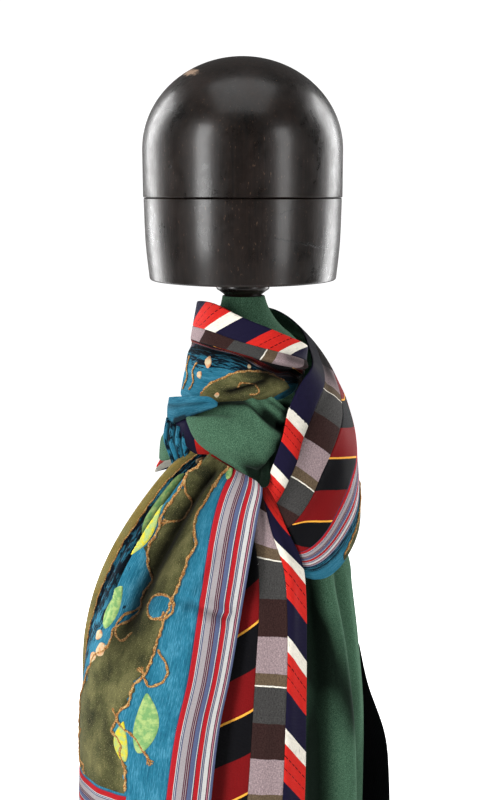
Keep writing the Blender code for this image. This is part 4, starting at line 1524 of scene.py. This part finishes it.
def ring_line(centre, radius):
    """Flat points round a circle that ends in a short inward curl."""
    full = 2 * math.pi
    angle = np.linspace(RING_START, full + RING_PAST, 22)
    size = radius * np.where(angle > full, 1.0 - RING_INWARD * (angle - full), 1.0)
    return np.stack([centre[0] + size * np.cos(angle), centre[1] + size * np.sin(angle)], axis=1)


# Radius of each run of yarn, as a share of the yarn's own.
RIM_YARN = 0.55
SPINE_YARN = 0.35
TENDRIL_YARN = 0.9
TASSEL_YARN = 0.5
NECK_VINE_YARN = 0.8
NECK_TENDRIL_YARN = 0.75


def front_applique():
    """Vine, leaves, buds and yarn on the front end's broad strip."""
    sizes = bpy.context.scene.cravat_sizes
    radius = sizes.yarn_radius / MM
    cloth = FRONT_LEFT_CLOTH
    limit = min(FRONT_LEFT_SEAMS[2:]) * FRONT_LEFT_WIDTH
    groups = {name: Gathered() for name in FRONT_PATCHES}
    cords = Gathered()

    def lay(name, edge_a, edge_b, ribbon_from=None):
        laid_patch(groups[name], cloth, edge_a, edge_b, FRONT_PATCHES[name], ribbon_from)

    def couch(line, share, seed):
        yarn(cords, cloth, line, radius * share, seed)

    for rows in (FRONT_VINE, FRONT_VINE_LOW):
        left, right = vine_edges(rows, limit - 2)
        lay("vine", left, right)
        couch(left[2:-1:4], 1.0, 0.4)
        couch(right[2:-1:4], 1.0, 1.9)
    left, right = vine_edges(FRONT_RIM, limit, 0.15)
    lay("rim", left, right)
    couch(right[2:-1:5], RIM_YARN, 2.6)
    side = np.linspace(0.6, limit - 0.5, 60)
    top = np.stack([np.full_like(side, FRONT_RIBBON_X), side], axis=1)
    lay("band", top, top + (FRONT_RIBBON_WIDTH, 0.0), FRONT_RIBBON_X)
    for leaf in FRONT_LEAVES:
        edge_a, edge_b, spine = leaf_edges(leaf.root, leaf.tip, leaf.width, leaf.bend)
        lay(leaf.kind, edge_a, edge_b)
        couch(spine[::4], SPINE_YARN, leaf.width)
    for centre, size in FRONT_BUDS:
        lay("bud", *disc_edges(centre, size))
    for centre, size in FRONT_WINDOWS:
        lay("window", *disc_edges(centre, size))
        couch(ring_line(centre, size), 1.0, size)
    for place, line in enumerate(FRONT_TENDRILS):
        couch(line, TENDRIL_YARN, place)
    for root, run in FRONT_TASSELS:
        tassel(cords, cloth, root, run, radius * TASSEL_YARN)
    made = [cords.make("applique_yarn_front", "couched_yarn")]
    for name, group in groups.items():
        made.append(group.make(f"applique_{name}_front", FRONT_PATCHES[name].look))
    return made


def wrap_point(turn, share):
    """Flat millimetres on the wound stretch, from a turn and a share across."""
    return at_turn(turn) * WOUND_LENGTH, share * WOUND_WIDTH


# The applique on the wound stretch, as turns and shares across: both edges of its vine
# round the neck and on the loop, its buds with their radii, and its tendrils.
WRAP_VINE_TOP = [(46, 0.74), (58, 0.66), (74, 0.60), (90, 0.61), (106, 0.70), (120, 0.80), (130, 0.92)]
WRAP_VINE_LOW = [(42, 0.84), (56, 0.90), (70, 0.985), (88, 0.985), (104, 0.985), (118, 0.985), (129, 0.985)]
LOOP_VINE = [(380, 0.93), (396, 0.915), (410, 0.93), (418, 0.95)]
LOOP_VINE_LOW = [(380, 0.985), (396, 0.99), (410, 0.99), (418, 0.985)]
NECK_BUDS = [(124, 0.58, 3.6), (134, 0.72, 2.6), (112, 0.90, 2.0), (84, 0.55, 1.6)]
NECK_TENDRILS = [
    [(96, 0.80), (90, 0.74), (80, 0.76), (76, 0.84), (84, 0.88)],
    [(140, 0.60), (146, 0.70), (142, 0.80), (148, 0.90)],
    [(158, 0.56), (162, 0.68), (156, 0.78), (164, 0.92)],
]


def wound_applique():
    """Vine, buds and yarn on the broad strip where it goes round the neck and the loop."""
    sizes = bpy.context.scene.cravat_sizes
    radius = sizes.yarn_radius / MM
    cloth = WOUND_CLOTH
    vine = Gathered()
    cords = Gathered()
    for tops, lows in ((WRAP_VINE_TOP, WRAP_VINE_LOW), (LOOP_VINE, LOOP_VINE_LOW)):
        top = smooth_line([wrap_point(*point) for point in tops], 3.0)
        low = smooth_line([wrap_point(*point) for point in lows], 3.0)
        share = np.linspace(0.0, 1.0, min(len(top), len(low)))
        top = smooth_rows(top, share)
        low = smooth_rows(low, share)
        laid_patch(vine, cloth, top, low, NECK_PATCHES["vine"])
        yarn(cords, cloth, top[1::4], radius * NECK_VINE_YARN, 0.7)
    buds = Gathered()
    for turn, share, size in NECK_BUDS:
        edge_a, edge_b = disc_edges(wrap_point(turn, share), size, 1.5)
        laid_patch(buds, cloth, edge_a, edge_b, NECK_PATCHES["bud"])
    for place, line in enumerate(NECK_TENDRILS):
        line = [wrap_point(*point) for point in line]
        yarn(cords, cloth, line, radius * NECK_TENDRIL_YARN, place)
    return [
        vine.make("applique_vine_neck", NECK_PATCHES["vine"].look),
        cords.make("applique_yarn_neck", "couched_yarn"),
        buds.make("applique_bud_neck", NECK_PATCHES["bud"].look),
    ]


def deselect_all():
    """Leaves edit mode and clears the selection."""
    if bpy.context.object and bpy.context.object.mode != "OBJECT":
        bpy.ops.object.mode_set(mode="OBJECT")
    bpy.ops.object.select_all(action="DESELECT")


def turned_piece(name, profile, sides, oval, look):
    """A turned body, drawn up ring by ring from its lowest level."""
    deselect_all()
    first = profile[0]
    bpy.ops.mesh.primitive_circle_add(
        vertices=sides, radius=first.r * MM, fill_type="NGON", location=(0, 0, first.z * MM)
    )
    made = bpy.context.object
    made.name = name
    made.data.name = name
    bpy.ops.object.transform_apply(location=True, rotation=True, scale=True)
    bpy.ops.object.mode_set(mode="EDIT")
    bpy.ops.mesh.select_all(action="SELECT")
    level = first
    for row in profile[1:]:
        rise = (row.z - level.z) * MM
        bpy.ops.mesh.extrude_region_move(TRANSFORM_OT_translate={"value": (0, 0, rise)})
        grow = row.r / level.r
        bpy.ops.transform.resize(value=(grow, grow, 1), center_override=(0, 0, row.z * MM))
        level = row
    bpy.ops.mesh.select_all(action="SELECT")
    bpy.ops.transform.resize(value=(oval[0], oval[1], 1), center_override=(0, 0, 0))
    bpy.ops.mesh.normals_make_consistent(inside=False)
    bpy.ops.object.mode_set(mode="OBJECT")
    made.data.shade_smooth()
    made.data.set_sharp_from_angle(angle=SHARP_WOOD)
    made.data.materials.clear()
    made.data.materials.append(finish(look))
    return made


def rounded(centre_r, centre_z, radius_r, radius_z, start, end, steps):
    """Levels of a turned piece on a quarter-round, by its angles in degrees."""
    made = []
    for step in range(steps + 1):
        angle = math.radians(start + (end - start) * step / steps)
        made.append(Turned(centre_r + radius_r * math.cos(angle), centre_z + radius_z * math.sin(angle)))
    return made


def smooth_profile(rows, start, end, per_row):
    """Rows of a profile with the stretch between two of them drawn as a smooth curve."""
    part = rows[start : end + 1]
    share = np.linspace(0.0, 1.0, (len(part) - 1) * per_row + 1)
    middle = [Turned(*row) for row in smooth_rows(part, share)]
    return list(rows[:start]) + middle + list(rows[end + 1 :])


# Sizes of the block and the stand, as in the solids.
BLOCK_HALF_WIDTH = 86.5
BLOCK_HALF_DEPTH = 98.0
BLOCK_FOOT_HALF_WIDTH = 82.0
BLOCK_FOOT_Z = 683.5
BLOCK_JOINT_Z = 754.0
BLOCK_SPRING_Z = 794.0
BLOCK_TOP_Z = 872.0
BLOCK_SWELL_HALF_WIDTH = 84.9
BLOCK_SWELL_Z = 715.5
BLOCK_EDGE = 2.0
BLOCK_ARRIS = 0.8
BLOCK_STEP = 0.5
CROWN_SIDE = (14, 28)  # levels of the crown above the joint, below its round
CROWN_ARC = 84  # degrees of the round up to which its steps are wide
CROWN_TOP = 89
STAND_GAP = 0.3
FOOT_RADIUS = 160.0
FOOT_HEIGHT = 24.0
FOOT_EDGE = 8.0
FOOT_ARRIS = 2.0
POST = [
    Turned(15, FOOT_HEIGHT + STAND_GAP),
    Turned(21, FOOT_HEIGHT + STAND_GAP + 1),
    Turned(21, 30),
    Turned(16, 34),
    Turned(18, 42),
    Turned(15, 49),
    Turned(13, 58),
    Turned(13, 470),
    Turned(14, 530),
    Turned(18, 575),
    Turned(23, 605),
    Turned(26, 625),
    Turned(26, 636),
    Turned(22, 645),
    Turned(16, 653),
    Turned(14, 660),
    Turned(15, 668),
    Turned(17, 670.2),
    Turned(20, 672.5),
    Turned(23, 674.5),
    Turned(24, 677),
    Turned(23, 680),
    Turned(21, 681.5),
    Turned(20, BLOCK_FOOT_Z - STAND_GAP),
]
POST_CURVE = (7, 16)  # first and last row of the post between which it is one smooth curve


class CravatSizes(bpy.types.PropertyGroup):
    """Sizes of the cloth and what is sewn on it."""

    thickness: bpy.props.FloatProperty(
        name="Cloth", description="Thickness of the cloth with its lining",
        default=1.25 * MM, min=0.5 * MM, max=1.6 * MM, subtype="DISTANCE", unit="LENGTH",
    )
    turned_edge: bpy.props.FloatProperty(
        name="Turned edge", description="Width over which a sewn edge rolls in",
        default=1.6 * MM, min=0.2 * MM, max=4 * MM, subtype="DISTANCE", unit="LENGTH",
    )
    yarn_radius: bpy.props.FloatProperty(
        name="Yarn", description="Radius of the couched yarn",
        default=1.15 * MM, min=0.4 * MM, max=2 * MM, subtype="DISTANCE", unit="LENGTH",
    )


def colour_setting(name, text, values):
    """A colour in the sidebar, from three display values."""
    return bpy.props.FloatVectorProperty(
        name=name, description=text, default=paint(*values), size=3, min=0.0, max=1.0, subtype="COLOR"
    )


class CravatColours(bpy.types.PropertyGroup):
    """Colours of the yarns and cloths."""

    navy: colour_setting("Navy", "Ground of the club stripe", (20, 17, 40))
    red: colour_setting("Red", "Red stripes", (184, 34, 28))
    cream: colour_setting("Cream", "Cream stripes and the thin line between the grey bands", (214, 209, 196))
    ecru: colour_setting("Ecru", "Pale cloth of the buds", (188, 174, 142))
    slub: colour_setting("Slub", "Slubs in the cream stripe", (150, 140, 132))
    ink: colour_setting("Ink", "Broken lines in the red stripe", (60, 8, 10))
    mauve: colour_setting("Mauve", "Mauve band", (138, 121, 123))
    drab: colour_setting("Drab", "Drab band", (88, 74, 58))
    grey: colour_setting("Grey", "Grey melange band", (58, 57, 56))
    brown: colour_setting("Brown", "Dark brown band", (46, 30, 28))
    burgundy: colour_setting("Burgundy", "Burgundy band", (108, 15, 17))
    gold: colour_setting("Gold", "Gold line", (226, 160, 60))
    black: colour_setting("Black", "Black band", (11, 11, 14))
    ribbon_red: colour_setting("Ribbon red", "Red lines of the ribbon", (158, 30, 36))
    pale: colour_setting("Pale grey", "Pale lines of the ribbon", (146, 140, 142))
    blue_line: colour_setting("Slate", "Blue-grey lines of the ribbon", (62, 68, 98))
    wine: colour_setting("Wine", "Wine lines of the ribbon", (76, 32, 48))
    lilac: colour_setting("Lilac", "Lilac-blue lines of the ribbon", (78, 87, 116))
    white: colour_setting("White", "White lines of the ribbon", (184, 184, 182))
    pink: colour_setting("Pink", "Pink line of the ribbon", (170, 112, 122))
    teal: colour_setting("Teal", "Body of the teal cloth", (36, 104, 128))
    deep_teal: colour_setting("Deep teal", "Shaded threads of the teal cloth", (18, 68, 90))
    pale_teal: colour_setting("Pale teal", "Lit threads of the teal cloth", (84, 148, 172))
    blue_black: colour_setting("Blue-black", "Dyed blots of the teal cloth", (10, 22, 32))
    olive: colour_setting("Olive", "Body of the olive cloth", (74, 74, 46))
    dark_olive: colour_setting("Dark olive", "Rubbed patches of the olive cloth", (44, 46, 30))
    pale_olive: colour_setting("Pale olive", "Lit patches of the olive cloth", (104, 101, 66))
    old_gold: colour_setting("Old gold", "Rolled edge of the applique", (112, 96, 50))
    straw: colour_setting("Straw", "Flecks of the olive cloth", (190, 172, 120))
    green: colour_setting("Green", "Body of the lining", (56, 84, 65))
    dark_green: colour_setting("Dark green", "Darker hairs of the lining", (38, 62, 48))
    pale_green: colour_setting("Pale green", "Lighter hairs of the lining", (80, 112, 90))
    leaf: colour_setting("Leaf", "Leaves", (108, 148, 92))
    pale_leaf: colour_setting("Pale leaf", "Veins and light parts of the leaves", (150, 172, 108))
    lemon: colour_setting("Lemon", "Yellow leaves", (192, 180, 52))
    peach: colour_setting("Peach", "Warm spots on the buds", (196, 140, 100))
    tan: colour_setting("Tan", "Couched yarn", (158, 108, 56))
    dark_tan: colour_setting("Dark tan", "Shaded plies of the yarn", (92, 54, 26))


class CravatStand(bpy.types.PropertyGroup):
    """Finish of the wooden stand."""

    dark: colour_setting("Dark", "Darkest stain", (10, 8, 7))
    warm: colour_setting("Warm", "Lighter stain", (27, 19, 15))
    worn: colour_setting("Worn", "Rubbed wood", (84, 64, 50))
    bare: colour_setting("Bare", "Chipped patch on the crown", (150, 126, 106))
    crack: colour_setting("Crack", "Inside of cracks and nail holes", (8, 6, 5))
    roughness: bpy.props.FloatProperty(
        name="Roughness", description="Roughness of the waxed wood", default=0.34,
        min=0.12, max=1.0, subtype="FACTOR",
    )
    wax: bpy.props.FloatProperty(
        name="Wax", description="Strength of the wax coat", default=0.30, min=0.0, max=1.0, subtype="FACTOR"
    )
    sides: bpy.props.IntProperty(
        name="Sides", description="Sides of the turned pieces", default=128, min=24, max=256
    )


class CravatStage(bpy.types.PropertyGroup):
    """Camera and lights of the small studio."""

    camera: bpy.props.FloatVectorProperty(
        name="Camera", description="Place of the camera", default=(0.008, -1.0, 0.760),
        size=3, subtype="XYZ", unit="LENGTH",
    )
    pitch: bpy.props.FloatProperty(
        name="Pitch", description="Tilt of the camera from straight down",
        default=math.radians(79.5), subtype="ANGLE", unit="ROTATION",
    )
    lens: bpy.props.FloatProperty(
        name="Lens", description="Focal length for a film 36 mm high", default=50.85, min=10, max=300
    )
    room: bpy.props.FloatProperty(
        name="Room light", description="Light from the white surroundings", default=0.12, min=0.0, max=4.0
    )
    floor: bpy.props.FloatProperty(
        name="Floor", description="Brightness added to the floor as the camera sees it",
        default=0.95, min=0.0, max=2.0,
    )
    key: bpy.props.FloatProperty(
        name="Key", description="Power of the left softbox", default=34.0, min=0.0, max=500.0,
        subtype="POWER", unit="POWER",
    )
    fill: bpy.props.FloatProperty(
        name="Fill", description="Power of the right softbox", default=15.0, min=0.0, max=500.0,
        subtype="POWER", unit="POWER",
    )
    rim: bpy.props.FloatProperty(
        name="Rim", description="Power of each light behind", default=20.0, min=0.0, max=500.0,
        subtype="POWER", unit="POWER",
    )


class CRAVAT_OT_block(bpy.types.Operator):
    """Make the hat block: the crown and the band below it"""

    bl_idname = "cravat.block"
    bl_label = "Hat block"

    def execute(self, context):
        sides = context.scene.cravat_stand.sides
        oval = (1.0, BLOCK_HALF_DEPTH / BLOCK_HALF_WIDTH)
        above = BLOCK_JOINT_Z + STAND_GAP / 2
        below = BLOCK_JOINT_Z - STAND_GAP / 2
        dome = BLOCK_TOP_Z - BLOCK_SPRING_Z
        crown = [Turned(BLOCK_HALF_WIDTH - BLOCK_ARRIS, above), Turned(BLOCK_HALF_WIDTH, above + BLOCK_ARRIS)]
        crown += [Turned(BLOCK_HALF_WIDTH, above + rise) for rise in CROWN_SIDE]
        crown += rounded(0, BLOCK_SPRING_Z, BLOCK_HALF_WIDTH, dome, 0, CROWN_ARC, 40)
        crown += rounded(0, BLOCK_SPRING_Z, BLOCK_HALF_WIDTH, dome, CROWN_ARC + 1, CROWN_TOP, 4)
        made = turned_piece("hat_block_crown", crown, sides, oval, "block_wood")
        own(made, "block_crown")
        edge = BLOCK_FOOT_HALF_WIDTH - BLOCK_EDGE
        band = [Turned(edge, BLOCK_FOOT_Z)]
        band += rounded(edge, BLOCK_FOOT_Z + BLOCK_EDGE, BLOCK_EDGE, BLOCK_EDGE, -60, 0, 6)
        side = [
            band[-1],
            Turned(BLOCK_SWELL_HALF_WIDTH, BLOCK_SWELL_Z),
            Turned(BLOCK_HALF_WIDTH - BLOCK_STEP, below - BLOCK_ARRIS),
        ]
        band = band[:-1] + smooth_profile(side, 0, 2, 8)
        band.append(Turned(BLOCK_HALF_WIDTH - BLOCK_STEP - BLOCK_ARRIS, below))
        made = turned_piece("hat_block_band", band, sides, oval, "block_wood")
        own(made, "block_band")
        return {"FINISHED"}


class CRAVAT_OT_post(bpy.types.Operator):
    """Make the turned post and the round foot"""

    bl_idname = "cravat.post"
    bl_label = "Post and foot"

    def execute(self, context):
        sides = context.scene.cravat_stand.sides
        profile = smooth_profile(POST, *POST_CURVE, 4)
        made = turned_piece("stand_post_turned", profile, sides // 2, (1.0, 1.0), "stand_wood")
        own(made, "stand_post")
        foot = [Turned(FOOT_RADIUS - FOOT_ARRIS, 0.0), Turned(FOOT_RADIUS, FOOT_ARRIS)]
        foot += rounded(FOOT_RADIUS - FOOT_EDGE, FOOT_HEIGHT - FOOT_EDGE, FOOT_EDGE, FOOT_EDGE, 0, 90, 10)
        made = turned_piece("stand_foot_turned", foot, sides, (1.0, 1.0), "stand_wood")
        own(made, "stand_foot")
        return {"FINISHED"}


# Rows along each stretch, and steps across each of its strips.
COLLAR_SIDES = 96
COLLAR_STEPS = 18
COLLAR_CUT = 60
WRAP_ROWS = 96
WRAP_STEPS = (12, 12, 7, 6, 24)
LOOP_ROWS = 110
LOOP_STEPS = (9, 12, 12, 12, 10)
FRONT_LEFT_ROWS = 176
FRONT_LEFT_STEPS = (60, 14)
FRONT_RIGHT_ROWS = 150
FRONT_RIGHT_STEPS = (12, 9, 9)


class CRAVAT_OT_collar(bpy.types.Operator):
    """Make the inner turn of lining above the wrap"""

    bl_idname = "cravat.collar"
    bl_label = "Collar"

    def execute(self, context):
        cloth = Cloth(COLLAR, form=ring_form)
        u = np.arange(COLLAR_SIDES) / COLLAR_SIDES
        low = np.zeros(COLLAR_SIDES)
        made, flat = shell(
            "cravat_collar", cloth, u, low, low + 1.0, COLLAR_STEPS,
            ("green_lining", "green_lining"), COLLAR_CUT, closed=True,
        )
        dress(made, "collar")
        return {"FINISHED"}


class CRAVAT_OT_wound(bpy.types.Operator):
    """Make the neck wrap and the loop, five strips each"""

    bl_idname = "cravat.wound"
    bl_label = "Neck wrap and loop"

    def execute(self, context):
        names = [strip.name for strip in STRIPS]
        cut = at_turn(WRAP_END_TURN)
        gap = STRETCH_GAP / WOUND_LENGTH
        u = np.linspace(0.0, cut - gap, WRAP_ROWS)
        wrap = strip_shell("wrap", WOUND_CLOTH, u, WOUND_SEAMS, names, WRAP_STEPS)
        u = np.linspace(cut + gap, 1.0, LOOP_ROWS)
        loop = strip_shell("loop", WOUND_CLOTH, u, WOUND_SEAMS, names, LOOP_STEPS)
        riders = wound_applique()
        declare_strips("wrap", wrap)
        declare_strips("loop", loop)
        return {"FINISHED"}


class CRAVAT_OT_front(bpy.types.Operator):
    """Make the front end: five strips, pleated at the ribbon"""

    bl_idname = "cravat.front"
    bl_label = "Front end"

    def execute(self, context):
        names = ("applique", "ribbon")
        u = np.linspace(0.0, 1.0, FRONT_LEFT_ROWS)
        left = strip_shell("front", FRONT_LEFT_CLOTH, u, FRONT_LEFT_SEAMS, names, FRONT_LEFT_STEPS)
        names = ("burgundy", "grey_block", "club_stripe")
        u = np.linspace(0.0, 1.0, FRONT_RIGHT_ROWS)
        right = strip_shell("front", FRONT_RIGHT_CLOTH, u, FRONT_RIGHT_SEAMS, names, FRONT_RIGHT_STEPS)
        riders = front_applique()
        declare_strips("front", left)
        declare_strips("front", right)
        return {"FINISHED"}


# Stretches of one cloth: node, form and creases, cut, rows and steps, the finish of
# each side, slot, how the cloth is held and the piece that it rests on.
Plain = namedtuple("Plain", "node sections folds length width rows steps outer inner slot held on")
GREEN = ("green_lining", "green_lining", "green_lining")
KNOT_SHEETS = [
    Plain("knot", KNOT, KNOT_FOLDS, KNOT_LENGTH, KNOT_WIDTH, 72, 44,
          *GREEN, "folded", "cravat_wrap_applique"),
    Plain("knot_edge", KNOT_EDGE, (), 64, 12, 48, 6,
          "club_stripe", "green_lining", "club_stripe", "folded", "cravat_knot"),
    Plain("teal_tuck", TEAL_TUCK, TEAL_TUCK_FOLDS, 74, 30, 60, 24,
          "teal_plain", "green_lining", "teal_plain", "folded", "cravat_knot"),
]
BAND_SHEETS = [
    Plain("back_wrap", wound(BACK_WRAP), BACK_WRAP_FOLDS, 230, 48, 110, 18,
          *GREEN, "folded", "cravat_wrap_applique"),
    Plain("side_strand", SIDE_STRAND, SIDE_STRAND_FOLDS, 22, 30, 24, 34,
          "teal_dyed", "green_lining", "teal_plain", "gathered", "cravat_back_wrap"),
    Plain("left_corner", LEFT_CORNER, (), 16, 26, 14, 12,
          "club_stripe", "club_stripe", "club_stripe", "hung", "cravat_back_wrap"),
]
BACK_SHEETS = [
    Plain("back_tail", BACK_TAIL, BACK_TAIL_FOLDS, BACK_TAIL_LENGTH, BACK_TAIL_WIDTH, 120, 90,
          *GREEN, "hung", "cravat_back_wrap"),
    Plain("back_underlap", UNDERLAP, (), 270, 48, 60, 16,
          "burgundy", "burgundy", "burgundy", "hung", "cravat_back_tail"),
]


def plain_sheets(rows):
    """Stretches of one cloth, each made as a thin shell that rides the body."""
    for row in rows:
        shades = SHADES.get(row.node, ())
        cloth = Cloth(row.sections, row.folds, row.length, row.width, shades=shades)
        u = np.linspace(0.0, 1.0, row.rows + 1)
        low = np.zeros_like(u)
        made, flat = shell(
            f"cravat_{row.node}", cloth, u, low, low + 1.0, row.steps,
            (row.outer, row.inner), row.width, LAYS.get(row.node, PLAIN_LAY),
        )
        dress(made, row.node)


class CRAVAT_OT_knot(bpy.types.Operator):
    """Make the knot, the edge under it and the tucked band"""

    bl_idname = "cravat.knot"
    bl_label = "Knot"

    def execute(self, context):
        plain_sheets(KNOT_SHEETS)
        return {"FINISHED"}


class CRAVAT_OT_bands(bpy.types.Operator):
    """Make the green band round the back and what hangs from it on the left"""

    bl_idname = "cravat.bands"
    bl_label = "Bands"

    def execute(self, context):
        plain_sheets(BAND_SHEETS)
        return {"FINISHED"}


class CRAVAT_OT_back(bpy.types.Operator):
    """Make the back end and the dark piece beside it"""

    bl_idname = "cravat.back"
    bl_label = "Back end"

    def execute(self, context):
        plain_sheets(BACK_SHEETS)
        return {"FINISHED"}


# The studio, in metres.  Each light has its place, width and height, the setting that
# holds its power, and the share of that power.
Softbox = namedtuple("Softbox", "name place size power share")
SOFTBOXES = [
    Softbox("left_softbox", (-1.15, -1.05, 0.95), (0.45, 1.3), "key", 1.0),
    Softbox("right_softbox", (1.15, -0.95, 0.85), (0.40, 1.2), "fill", 1.0),
    Softbox("left_rim", (-1.0, 0.75, 0.8), (0.5, 1.5), "rim", 1.0),
    Softbox("right_rim", (1.0, 0.75, 0.8), (0.5, 1.5), "rim", 1.0),
    Softbox("top_soft", (0.0, -0.3, 2.0), (1.2, 1.2), "fill", 0.7),
]
LIT_POINT = (0.0, 0.0, 0.52)
FLOOR_SIZE = 8
FLOOR_DROP = 0.0004
BACKDROP = 1.1  # brightness of the surroundings as the camera sees them
FILM = 36
WHITE = (1, 1, 1, 1)


def softbox(row, power):
    """A rectangular area light that faces the lit point."""
    light = bpy.data.lights.new(row.name, "AREA")
    light.shape = "RECTANGLE"
    light.size, light.size_y = row.size
    light.energy = power
    made = bpy.data.objects.new(row.name, light)
    bpy.context.collection.objects.link(made)
    away = np.array(row.place) - np.array(LIT_POINT)
    flat = math.hypot(away[0], away[1])
    made.location = row.place
    made.rotation_euler = (math.atan2(flat, away[2]), 0, math.atan2(away[0], -away[1]))


def pale_floor(glow):
    """A white floor that looks as bright as the surroundings."""
    bpy.ops.mesh.primitive_plane_add(size=FLOOR_SIZE, location=(0, 0, -FLOOR_DROP))
    floor = bpy.context.object
    floor.name = "pale_floor"
    bpy.ops.object.transform_apply(location=True, rotation=True, scale=True)
    g = Graph("pale_floor", 0.9, takes_painted_shade=False)
    x, y, z = g.solid_place()
    speck = g.noise(x, y, z, size=(60, 60, 60), detail=2.0)
    colour = g.ramp(speck, [(0.3, (0.90, 0.90, 0.90)), (0.7, (0.94, 0.94, 0.94))])
    seen = g.node("ShaderNodeLightPath").outputs["Is Camera Ray"]
    g.shader.inputs["Emission Color"].default_value = WHITE
    g.put(g.shader.inputs["Emission Strength"], g.times(seen, glow))
    floor.data.materials.append(g.done(colour))


def white_room(strength):
    """White surroundings: soft light on the pieces, and bright where the camera sees them."""
    world = bpy.data.worlds.new("white_room")
    world.use_nodes = True
    tree = world.node_tree
    lit = tree.nodes["Background"]
    seen = tree.nodes.new("ShaderNodeBackground")
    for node, value in ((lit, strength), (seen, BACKDROP)):
        node.inputs["Color"].default_value = WHITE
        node.inputs["Strength"].default_value = value
    ray = tree.nodes.new("ShaderNodeLightPath")
    blend = tree.nodes.new("ShaderNodeMixShader")
    tree.links.new(ray.outputs["Is Camera Ray"], blend.inputs[0])
    tree.links.new(lit.outputs[0], blend.inputs[1])
    tree.links.new(seen.outputs[0], blend.inputs[2])
    tree.links.new(blend.outputs[0], tree.nodes["World Output"].inputs["Surface"])
    bpy.context.scene.world = world


def photo_camera(stage):
    """The camera, where the photo was taken from."""
    eye = bpy.data.cameras.new("photo_camera")
    eye.sensor_width = FILM
    eye.lens = stage.lens
    made = bpy.data.objects.new("photo_camera", eye)
    bpy.context.collection.objects.link(made)
    made.location = stage.camera
    made.rotation_euler = (stage.pitch, 0, 0)
    bpy.context.scene.camera = made


class CRAVAT_OT_stage(bpy.types.Operator):
    """Set the camera, the soft lights and the pale floor"""

    bl_idname = "cravat.stage"
    bl_label = "Stage"

    def execute(self, context):
        stage = context.scene.cravat_stage
        deselect_all()
        pale_floor(stage.floor)
        white_room(stage.room)
        for row in SOFTBOXES:
            softbox(row, getattr(stage, row.power) * row.share)
        photo_camera(stage)
        context.scene.view_settings.view_transform = "Standard"
        return {"FINISHED"}


OPERATORS = (
    CRAVAT_OT_stage,
    CRAVAT_OT_block,
    CRAVAT_OT_post,
    CRAVAT_OT_collar,
    CRAVAT_OT_wound,
    CRAVAT_OT_knot,
    CRAVAT_OT_front,
    CRAVAT_OT_bands,
    CRAVAT_OT_back,
)


class CRAVAT_PT_panel(bpy.types.Panel):
    """Lists the settings and the pieces"""

    bl_idname = "CRAVAT_PT_panel"
    bl_label = "Cravat"
    bl_space_type = "VIEW_3D"
    bl_region_type = "UI"
    bl_category = "Cravat"

    def draw(self, context):
        scene = context.scene
        for title, group in (
            ("Cloth", scene.cravat_sizes),
            ("Stand", scene.cravat_stand),
            ("Stage", scene.cravat_stage),
            ("Colours", scene.cravat_colours),
        ):
            box = self.layout.box()
            box.label(text=title)
            for name in group.__annotations__:
                box.prop(group, name)
        for operator in OPERATORS:
            self.layout.operator(operator.bl_idname)


GROUPS = {
    "cravat_sizes": CravatSizes,
    "cravat_colours": CravatColours,
    "cravat_stand": CravatStand,
    "cravat_stage": CravatStage,
}


def register():
    """Adds the settings, the operators and the panel."""
    for name, group in GROUPS.items():
        bpy.utils.register_class(group)
        setattr(bpy.types.Scene, name, bpy.props.PointerProperty(type=group))
    for operator in OPERATORS:
        bpy.utils.register_class(operator)
    bpy.utils.register_class(CRAVAT_PT_panel)


def unregister():
    """Takes them away again."""
    bpy.utils.unregister_class(CRAVAT_PT_panel)
    for operator in reversed(OPERATORS):
        bpy.utils.unregister_class(operator)
    for name, group in GROUPS.items():
        delattr(bpy.types.Scene, name)
        bpy.utils.unregister_class(group)


def main():
    """Makes the stage and every piece."""
    register()
    for operator in OPERATORS:
        group, name = operator.bl_idname.split(".")
        getattr(getattr(bpy.ops, group), name)()


if __name__ == "__main__":
    main()
